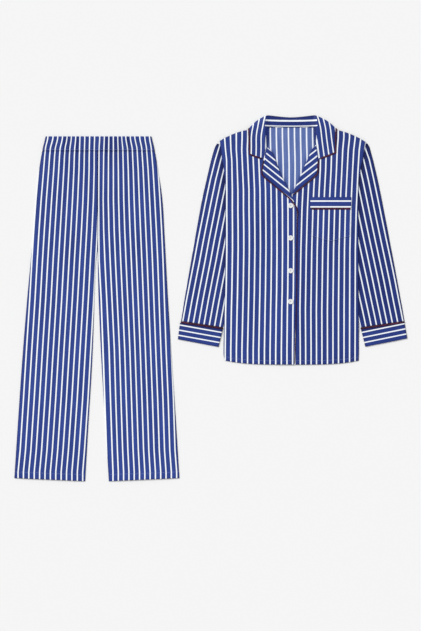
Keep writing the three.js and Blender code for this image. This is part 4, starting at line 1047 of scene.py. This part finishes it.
rows = collar_rows(7)
fall = np.linalg.norm(rows[:, 2:4] - rows[:, 0:2], axis=1)[:, None]
stand = np.linalg.norm(rows[:, 4:6] - rows[:, 0:2], axis=1)[:, None]
stand_steps = np.array([1, 0.85, 0.65, 0.45, 0.28, 0.16, 0.08, 0.035])[None, :]
fall_steps = np.array([0, 0.01, 0.025, 0.05, 0.09, 0.15, 0.22, 0.3, 0.4, 0.5, 0.6, 0.7, 0.8, 0.88,
                       0.95, 1])[None, :]
length = np.c_[-stand * stand_steps, fall * fall_steps]
across, down, z, _ = collar_point(rows, length)
first = line(FIRST_STRIPE, "from_roll")(rows[:, 1:2])
along = length_along(rows[:, 0:2])[:, None]
under = (length - first) / COLLAR_REPEAT
count = stripes(mix(under, wing_count(across, down), ease(rows[:, 6:7] / 0.45)), along)
back, held = stand_count(rows, across, down, length)
near_back = (down[:-1, :-1] + down[1:, 1:]) / 2 < STAND_STRIPE["end"]
on_stand = np.zeros_like(near_back)
on_stand[:, :stand_steps.size] = True
split = np.where(np.pad(near_back, ((0, 1), (0, 1)), "edge"), back, held)
other = np.stack([split, count[..., 1]], -1)
into = np.clip(-length / stand, 0, 1)
over = rows[:, 6:7]
shade = (1 - (0.08 + 0.5 * over) * ease(into / 0.5) - 0.25 * bell(length, 1.6)
         - (1 - over) * (0.2 + 0.45 * bell(length, 7.5)) - 0.2 * bell(fall - length, 2.5))
cloth("collar", jacket(across, down, z), count, CUT["collar"], ["front_right", "front_left", "body_back"],
      thick=COLLAR_THICK, upward=True, double=True, middle=True, other=other, swap=on_stand,
      shade=np.clip(shade, 0.3, 1))

# %% [markdown]
# Jacket: chest pocket
# A patch pocket with a point, its stripes matched to the front, and a turned band on its mouth whose
# stripes run across. Both lie on the front, so their heights are the front's plus their own layers.

# %% Pocket
POCKET_WIDTH = 115.0
POCKET = {"from": 56.6, "to": 169.7, "top": 271.5, "bottom": 351.5, "point": 15}
POCKET_BAND = {"from": 53.7, "to": 172.3, "top": 237.5, "bottom": 268.8, "first": 249.1, "repeat": 16.8}


def patch(name, shape, lower, count_of, lift, wall, double):
    """A patch on the left front: its edges roll down on to the cloth below."""
    t, v = fractions(34, POCKET_WIDTH), fractions(26, 80)
    across = mix(shape["from"], shape["to"], t)[None, :] + 0 * v[:, None]
    low = lower(t)[None, :]
    down = mix(shape["top"], low, v[:, None])
    edge = np.minimum(to_side(t, POCKET_WIDTH), np.minimum(v, 1 - v)[:, None] * (low - shape["top"]))
    z = front_top("left", across, down) + 0.15 + (lift - 0.15) * rounded(edge, 1.3)
    z = z - 0.3 * bell(edge - 3.2, 0.7) + creases(across, down, FRONT_CREASES)
    shade = np.clip(1 - 0.3 * bell(edge, 1.2) - 0.08 * bell(edge - 3.2, 0.9), 0.3, 1)
    count = stripes(count_of(across, down), across if double else down)
    flat = (shape["to"] - shape["from"], float(low.max()) - shape["top"])
    cloth(name, jacket(across, down, z), count, flat, ["front_left"], thick=wall, upward=True,
          double=double, shade=shade)


patch("pocket", POCKET, lambda t: POCKET["bottom"] + POCKET["point"] * (1 - np.abs(2 * t - 1)),
      lambda across, down: front_count("left", across, down), 1.0, 0.6, False)
patch("pocket_band", POCKET_BAND, lambda t: POCKET_BAND["bottom"] + 0 * t,
      lambda across, down: (down - POCKET_BAND["first"]) / POCKET_BAND["repeat"], 1.7, 0.9, True)

# %% [markdown]
# Piping
# The piping is a satin bias strip sewn round a cord, and it edges the collar, lapels, front, cuffs
# and pocket band. A curve with a bevel would do, but a swept section lets it lie flat on the cloth:
# wider than it is high. The satin's bias threads run round it at a slant and catch the light.

# %% Satin material
SATIN_PITCH = 2.2  # mm, drawn far coarser than the real bias threads so that they show


def satin(name, deep, light):
    """Maroon satin: slanted fine ridges, deeper and lighter along the cord, and a clear sheen."""
    material, tree, shader = new_material(name, {
        "Roughness": 0.42, "IOR": 1.5, "Specular IOR Level": 0.3, "Sheen Weight": 0.03})
    place = add(tree, "ShaderNodeUVMap", {"uv_map": "stripes"}).outputs["UV"]
    split = add(tree, "ShaderNodeSeparateXYZ", inputs={"Vector": place})
    tone = add(tree, "ShaderNodeTexNoise", inputs={"Vector": place, "Scale": 0.08, "Detail": 3.0})
    ramp = add(tree, "ShaderNodeMapRange", inputs={
        "Value": tone.outputs["Fac"], "From Min": 0.35, "From Max": 0.65})
    between(tree, ramp.outputs["Result"], deep, light, shader.inputs["Base Color"])
    slant = add(tree, "ShaderNodeMath", {"operation": "MULTIPLY_ADD"}, {
        0: split.outputs["X"], 1: TURN / SATIN_PITCH, 2: split.outputs["Y"]})
    wave = add(tree, "ShaderNodeMath", {"operation": "SINE"}, {0: slant.outputs[0]})
    raised(tree, shader, wave.outputs[0], 0.35, 0.0001)
    return material


SATIN = satin("maroon satin", "#24061a", "#520f34")

# %% Cord along a path
PIPING = {"wide": 3.7, "high": 1.9, "sides": 12, "step": 2.2}
PIPING_OUT = 2.0


def smooth_path(points, step):
    """Points step apart on cubic pieces through the given ones, slopes from the neighbours."""
    points = np.asarray(points, float)
    at = length_along(points)
    slope = np.gradient(points, at, axis=0)
    place = np.linspace(0, at[-1], max(int(at[-1] / step), 2) + 1)
    i = np.clip(np.searchsorted(at, place) - 1, 0, len(at) - 2)
    span = (at[i + 1] - at[i])[:, None]
    t = (place - at[i])[:, None] / span
    bend = t * (1 - t) * span * (slope[i] * (1 - t) - slope[i + 1] * t)
    return mix(points[i], points[i + 1], ease(t)) + bend


def cord(name, path, node=None, closed=False, wide=None, width=1.0, slim=None):
    """Oval section carried along the path. Each ring is the centre plus cosine times half the
    width sideways and sine times half the height upwards. Open ends narrow to a round tip.
    slim is how far down the jacket it narrows to a half, where its edge turns under."""
    path = smooth_path(path, PIPING["step"])
    path[:, 2] = np.maximum(path[:, 2], PIPING["high"] / 2)
    if closed:
        path = path[:-1]
        ahead = np.roll(path, -1, 0) - np.roll(path, 1, 0)
    else:
        ahead = np.gradient(path, axis=0)
    ahead = ahead / np.linalg.norm(ahead, axis=1)[:, None]
    level = np.stack([ahead[:, 1], -ahead[:, 0], 0 * ahead[:, 0]], -1)
    sideways = level if wide is None else wide + 0 * ahead
    sideways = sideways / np.linalg.norm(sideways, axis=1)[:, None]
    upwards = np.cross(sideways, ahead)
    angle = np.linspace(0, TURN, PIPING["sides"] + 1)
    size = np.ones(len(path))
    if slim is not None:
        width = 1 - 0.5 * ease((JACKET["y"] - slim - path[:, 1]) / 40)[:, None, None]
    if not closed:
        size[[0, -1]], size[[1, -2]] = 0.25, 0.85
    ring = (np.cos(angle)[None, :, None] * sideways[:, None, :] * PIPING["wide"] / 2 * width
            + np.sin(angle)[None, :, None] * upwards[:, None, :] * PIPING["high"] / 2)
    points = path[:, None, :] + ring * size[:, None, None]
    run = length_along(path)
    if closed:
        points = np.concatenate([points, points[:1]], 0)
        run = np.r_[run, run[-1] + PIPING["step"]]
    count = np.stack([np.repeat(run[:, None], len(angle), 1), np.repeat(angle[None, :], len(run), 0)], -1)
    mesh, _ = surface(name, points, count, closed=True)
    fill_ends(mesh, weld=1e-6)
    mesh.materials.append(SATIN)
    print(name, round(run[-1]), "mm long")
    keep(name, mesh, "piping", node or name)


# %% Piping of the lapels and the front
FRONT_TURN = [(7.4, 258.5), (10.6, 263.5), (14.2, 270.5), (16.3, 279)]


def beside(path, distance):
    """The path moved sideways in plan by distance."""
    ahead = np.gradient(path, axis=0)
    ahead = ahead / np.linalg.norm(ahead, axis=1)[:, None]
    return path + distance * np.stack([-ahead[:, 1], ahead[:, 0]], -1)


def on_front(side, place, lift=GAP):
    """Middle of a cord laid on the front at each place (across, down), lifted off its face."""
    across, down = place.T
    return jacket(across, down, front_top(side, across, down) + lift + PIPING["high"] / 2)


right = beside(np.array(LAPEL["right"]["edge"], float), PIPING_OUT)
right[0] = mix(right[0], right[1], 0.3)
left = beside(np.array(LAPEL["left"]["edge"], float), -PIPING_OUT)
left[0] = mix(left[0], left[1], 0.3)
edge_downs = np.array([300, 330, 362, 400, 450, 536, 590, 645, 695, 721.5])
edge_across = FRONT_EDGE["right"](edge_downs) + PIPING_OUT
down_front = on_front("right", np.stack([edge_across, edge_downs], -1), -CLOTH)
cord("piping_front", np.r_[on_front("right", np.r_[right, FRONT_TURN]), down_front], slim=270)
cord("piping_lapel", on_front("left", left), "piping_lapel_left")

# %% Piping of the collar
COLLAR_PIPING = {"out": 2.3, "width": 1.2}  # its thicker cord sits further out
rows = collar_rows(1)
fall = np.linalg.norm(rows[:, 2:4] - rows[:, 0:2], axis=1)[:, None]
across, down, z, (to_edge, _) = collar_point(rows, fall)
centre = np.stack([across[:, 0], down[:, 0]], -1) + to_edge[:, 0] * COLLAR_PIPING["out"]
edge_path = np.c_[centre, z[:, 0] - CLOTH / 2 + PIPING["high"] / 2]


def wing_bottom(row):
    """From the roll to the wing's corner along its lower edge, just below the cloth."""
    reach = np.linalg.norm(row[2:4] - row[0:2])
    steps = np.array([[0.06, 0.5, 0.9]]) * reach
    x, y, height, (out, side) = collar_point(row[None, :], steps)
    place = np.stack([x[0], y[0]], -1) - side[0] * COLLAR_PIPING["out"]
    corner_x, corner_y, corner_z, _ = collar_point(row[None, :], np.array([[reach]]))
    beyond = (out[0, 0] - side[0, 0]) * 0.8 * COLLAR_PIPING["out"]
    corner = np.array([corner_x[0, 0], corner_y[0, 0]]) + beyond
    plan = np.r_[place, corner[None, :]]
    tall = np.r_[height[0], corner_z[0]] - CLOTH / 2 + PIPING["high"] / 2
    return np.c_[plan, tall]


def sharpen(before, corner, after, near=3.0):
    """The corner with a point close to it on each side, so that the cord turns there at once."""
    steps = [near / np.linalg.norm(side - corner) for side in (before, after)]
    return np.stack([mix(corner, before, steps[0]), corner, mix(corner, after, steps[1])])


first, last = wing_bottom(rows[0]), wing_bottom(rows[-1])
path = np.r_[first[:-2], sharpen(first[-3], first[-1], edge_path[1]), edge_path[1:-1],
             sharpen(edge_path[-2], last[-1], last[-3]), last[:-2][::-1]]
cord("piping_collar", jacket(*path.T), width=COLLAR_PIPING["width"])

# %% Piping of the cuffs and the pocket
CUFF_PIPING_WIDTH = 1.28
POCKET_PIPING = {"from": 54.7, "to": 171.3, "down": 271.6, "width": 1.25}


def cuff_ring(side):
    """Round the seam between sleeve and cuff: over the front, round the edge and under the back."""
    sleeve_end = np.array([(SIGN[side] * SLEEVE[side][-1], SLEEVE["down"][-1]),
                           (SIGN[side] * SLEEVE["inner"][-1], SLEEVE["inner_down"][-1])])
    outer, inner = (sleeve_end + np.array(CUFF[side]["top"], float)) / 2 + (0, 0.2)
    low, high = PIPING["high"] / 2, 3 * PIPING["high"] / 2 + GAP - 0.3
    around = np.linspace(0, TURN, 65)
    flat = np.sign(np.cos(around)) * np.abs(np.cos(around)) ** 0.35
    lift = np.sign(np.sin(around)) * np.abs(np.sin(around)) ** 0.6
    place = (outer + inner)[None, :] / 2 + (inner - outer)[None, :] / 2 * flat[:, None]
    return jacket(place[:, 0], place[:, 1], (low + high) / 2 + (high - low) / 2 * lift)


for side in SIGN:
    ring = cuff_ring(side)
    slant = ring[np.argmax(ring[:, 0])] - ring[np.argmin(ring[:, 0])]
    cord("piping_cuff_" + side, ring, closed=True,
         wide=np.array([-slant[1], slant[0], 0.0]), width=CUFF_PIPING_WIDTH)
across = np.linspace(POCKET_PIPING["from"], POCKET_PIPING["to"], 14)
mouth = np.stack([across, POCKET_PIPING["down"] + 0 * across], -1)
cord("piping_pocket", on_front("left", mouth, 2 * GAP), width=POCKET_PIPING["width"])

# %% [markdown]
# Buttons
# Four sew-through buttons of white pearl-like plastic, turned with a raised rim and a dished middle,
# and drilled with four holes. A lathe makes the blank, and the holes are pressed into its grid, which
# keeps it one closed body. Two short lengths of thread cross the middle of each.

# %% Button material
PEARL, tree, shader = new_material("pearl-like plastic", {
    "Roughness": 0.22, "Coat Weight": 0.3, "IOR": 1.5})
place = add(tree, "ShaderNodeTexCoord").outputs["Object"]
cloudy = add(tree, "ShaderNodeTexNoise", inputs={
    "Vector": place, "Scale": 400.0, "Detail": 3.0, "Distortion": 1.5})
between(tree, cloudy.outputs["Fac"], "#dcdfe6", "#f5f3ee", shader.inputs["Base Color"])

# %% Buttons
BUTTON_ACROSS = -3.5
BUTTON_DOWNS = [262, 356, 451, 540.5]
BUTTON = {"radius": [0, 7.0, 7.6, 7.2, 6.2, 4.9, 0], "height": [0, 0, 0.8, 2.3, 2.8, 1.7, 1.5]}
HOLE = {"from_middle": 1.55, "radius": 0.75, "deep": 1.3}
HOLE_REACH = HOLE["from_middle"] / 1.414  # mm across and down from the middle


def button(number, down):
    """The profile turned once round: radius and height along it, times the cosine and sine."""
    profile = np.stack([BUTTON["radius"], BUTTON["height"]], -1)
    run = length_along(profile)
    place = np.r_[np.linspace(0.05, run[1], 5), np.linspace(run[1], run[4], 16)[1:],
                  np.linspace(run[4], run[6], 34)[1:]]
    radius, height = np.interp(place, run, profile[:, 0]), np.interp(place, run, profile[:, 1])
    radius[-1] = 0.01
    angle = np.linspace(0, TURN, 61)
    x, y = radius[:, None] * np.cos(angle), radius[:, None] * np.sin(angle)
    top = (place > run[4])[:, None]
    away = np.hypot(np.abs(x) - HOLE_REACH, np.abs(y) - HOLE_REACH)
    pressed = HOLE["deep"] * (1 - ease((away - HOLE["radius"] + 0.12) / 0.24)) * top
    base = float(front_top("right", np.array(BUTTON_ACROSS), np.array(float(down)))) + 0.3
    points = jacket(BUTTON_ACROSS + x, down - y, base + height[:, None] - pressed)
    count = np.stack([np.repeat(angle[None, :], len(radius), 0),
                      np.repeat(place[:, None], len(angle), 1)], -1)
    name = "button_%d" % number
    mesh, _ = surface(name, points, count, closed=True)
    fill_ends(mesh)
    mesh.materials.append(PEARL)
    keep(name, mesh, "button", name)
    return base


bases = [button(number, down) for number, down in enumerate(BUTTON_DOWNS, 1)]
print("buttons on", [round(base, 2) for base in bases], "mm")

# %% [markdown]
# Stitches
# The hems and the pocket are topstitched, a row of short threads that each dip into the cloth. A line
# drawn in the material would fade at the edges of the stripes, and a bevelled curve would be one long
# cord. Each stitch is a small bar of its own here, laid on the row of the cloth's grid that it holds.
# Real thread is 0.3 mm thick; it is drawn at 0.5 mm, or it would not show from above.

# %% Thread material
THREAD, tree, shader = new_material("polyester thread", {"Roughness": 0.45})
place = add(tree, "ShaderNodeTexCoord").outputs["Object"]
twist = add(tree, "ShaderNodeTexNoise", inputs={"Vector": place, "Scale": 1800.0, "Detail": 2.0})
between(tree, twist.outputs["Fac"], "#7f93cd", "#bcc9ee", shader.inputs["Base Color"])
raised(tree, shader, twist.outputs["Fac"], 0.4, 0.0001)

# %% Threads
STITCH = {"pitch": 3.2, "long": 2.4, "radius": 0.25}


def threads(name, starts, ends, radius):
    """One short thread from each start to its end: rings of six points round the line, drawn in at
    both ends, each point the centre plus cosine times sideways and sine times upwards."""
    run = ends - starts
    ahead = run / np.linalg.norm(run, axis=1)[:, None]
    sideways = np.cross(ahead, [0.0, 0.0, 1.0])
    upwards = np.cross(sideways, ahead)
    along, size = np.array([0, 0.12, 0.5, 0.88, 1.0]), np.array([0.15, 0.8, 1, 0.8, 0.15])
    angle = np.arange(6) * TURN / 6
    ring = (np.cos(angle)[:, None] * sideways[:, None, None, :]
            + np.sin(angle)[:, None] * upwards[:, None, None, :]) * radius
    middles = starts[:, None, :] + run[:, None, :] * along[:, None]
    points = middles[:, :, None, :] + ring * size[:, None, None]
    number = np.arange(points.size // 3).reshape(-1, 5, 6)
    after = np.roll(number, -1, 2)
    sides = np.stack([number[:, :-1], number[:, 1:], after[:, 1:], after[:, :-1]], -1).reshape(-1, 4)
    faces = sides.tolist() + number[:, 0].tolist() + number[:, -1, ::-1].tolist()
    mesh = bpy.data.meshes.new(name)
    mesh.from_pydata((points.reshape(-1, 3) / 1000).tolist(), [], faces)
    mesh.polygons.foreach_set("use_smooth", np.ones(len(faces), dtype=bool))
    mesh.materials.append(THREAD)
    print(name, len(starts), "stitches")
    keep(name, mesh, "striped_cotton")


def stitches(name, path, lift):
    """Threads along a path, STITCH pitch apart, lifted on to the cloth."""
    run = length_along(path)
    start = np.arange(1.0, run[-1] - STITCH["long"] - 1, STITCH["pitch"])
    ends = [np.stack([np.interp(at, run, path[:, i]) for i in range(3)], -1) + [0, 0, lift]
            for at in (start, start + STITCH["long"])]
    threads(name, *ends, STITCH["radius"])


# %% Rows of stitches
# The last number of each row is how far the thread's middle lies above the grid, in mm
hem_row = int(np.argmin(np.abs(LEG_ROWS - (LEG_END - LEG_HEM))))
body_hem_row = int(np.argmin(np.abs(BODY_ROWS - (HEM_DOWN - JACKET_HEM))))
for side in SIGN:
    stitches("stitches_leg_" + side, LAID["leg_front_" + side][hem_row, 2:-2], 0.2)
    stitches("stitches_leg_back_" + side, LAID["leg_back_" + side][hem_row, 3:-3], 0.22)
    stitches("stitches_front_" + side, LAID["front_" + side][body_hem_row, 2:-3], 0.2)
stitches("stitches_back", LAID["body_back"][body_hem_row, 3:-3], 0.12)
stitches("stitches_band", LAID["waistband"][BAND_STITCHED["row"], 3:BAND_STITCHED["columns"] - 3], 0.15)
grid = LAID["pocket"]
low, left_column, right_column = -4, 3, -4
outline = np.r_[grid[:low, left_column], grid[low, left_column:right_column], grid[:low, right_column][::-1]]
stitches("stitches_pocket", outline, 0.15)

# %% Threads of the buttons
BUTTON_THREAD = 0.32
reach = HOLE["from_middle"] / 2 ** 0.5
for number, (down, base) in enumerate(zip(BUTTON_DOWNS, bases), 1):
    level = base + BUTTON["height"][-1] + 0.12
    left = jacket(BUTTON_ACROSS + np.array([-reach, -reach]), down + np.array([-reach, reach]), level)
    right = jacket(BUTTON_ACROSS + np.array([reach, reach]), down + np.array([reach, -reach]), level)
    threads("threads_button_%d" % number, left, right, BUTTON_THREAD)
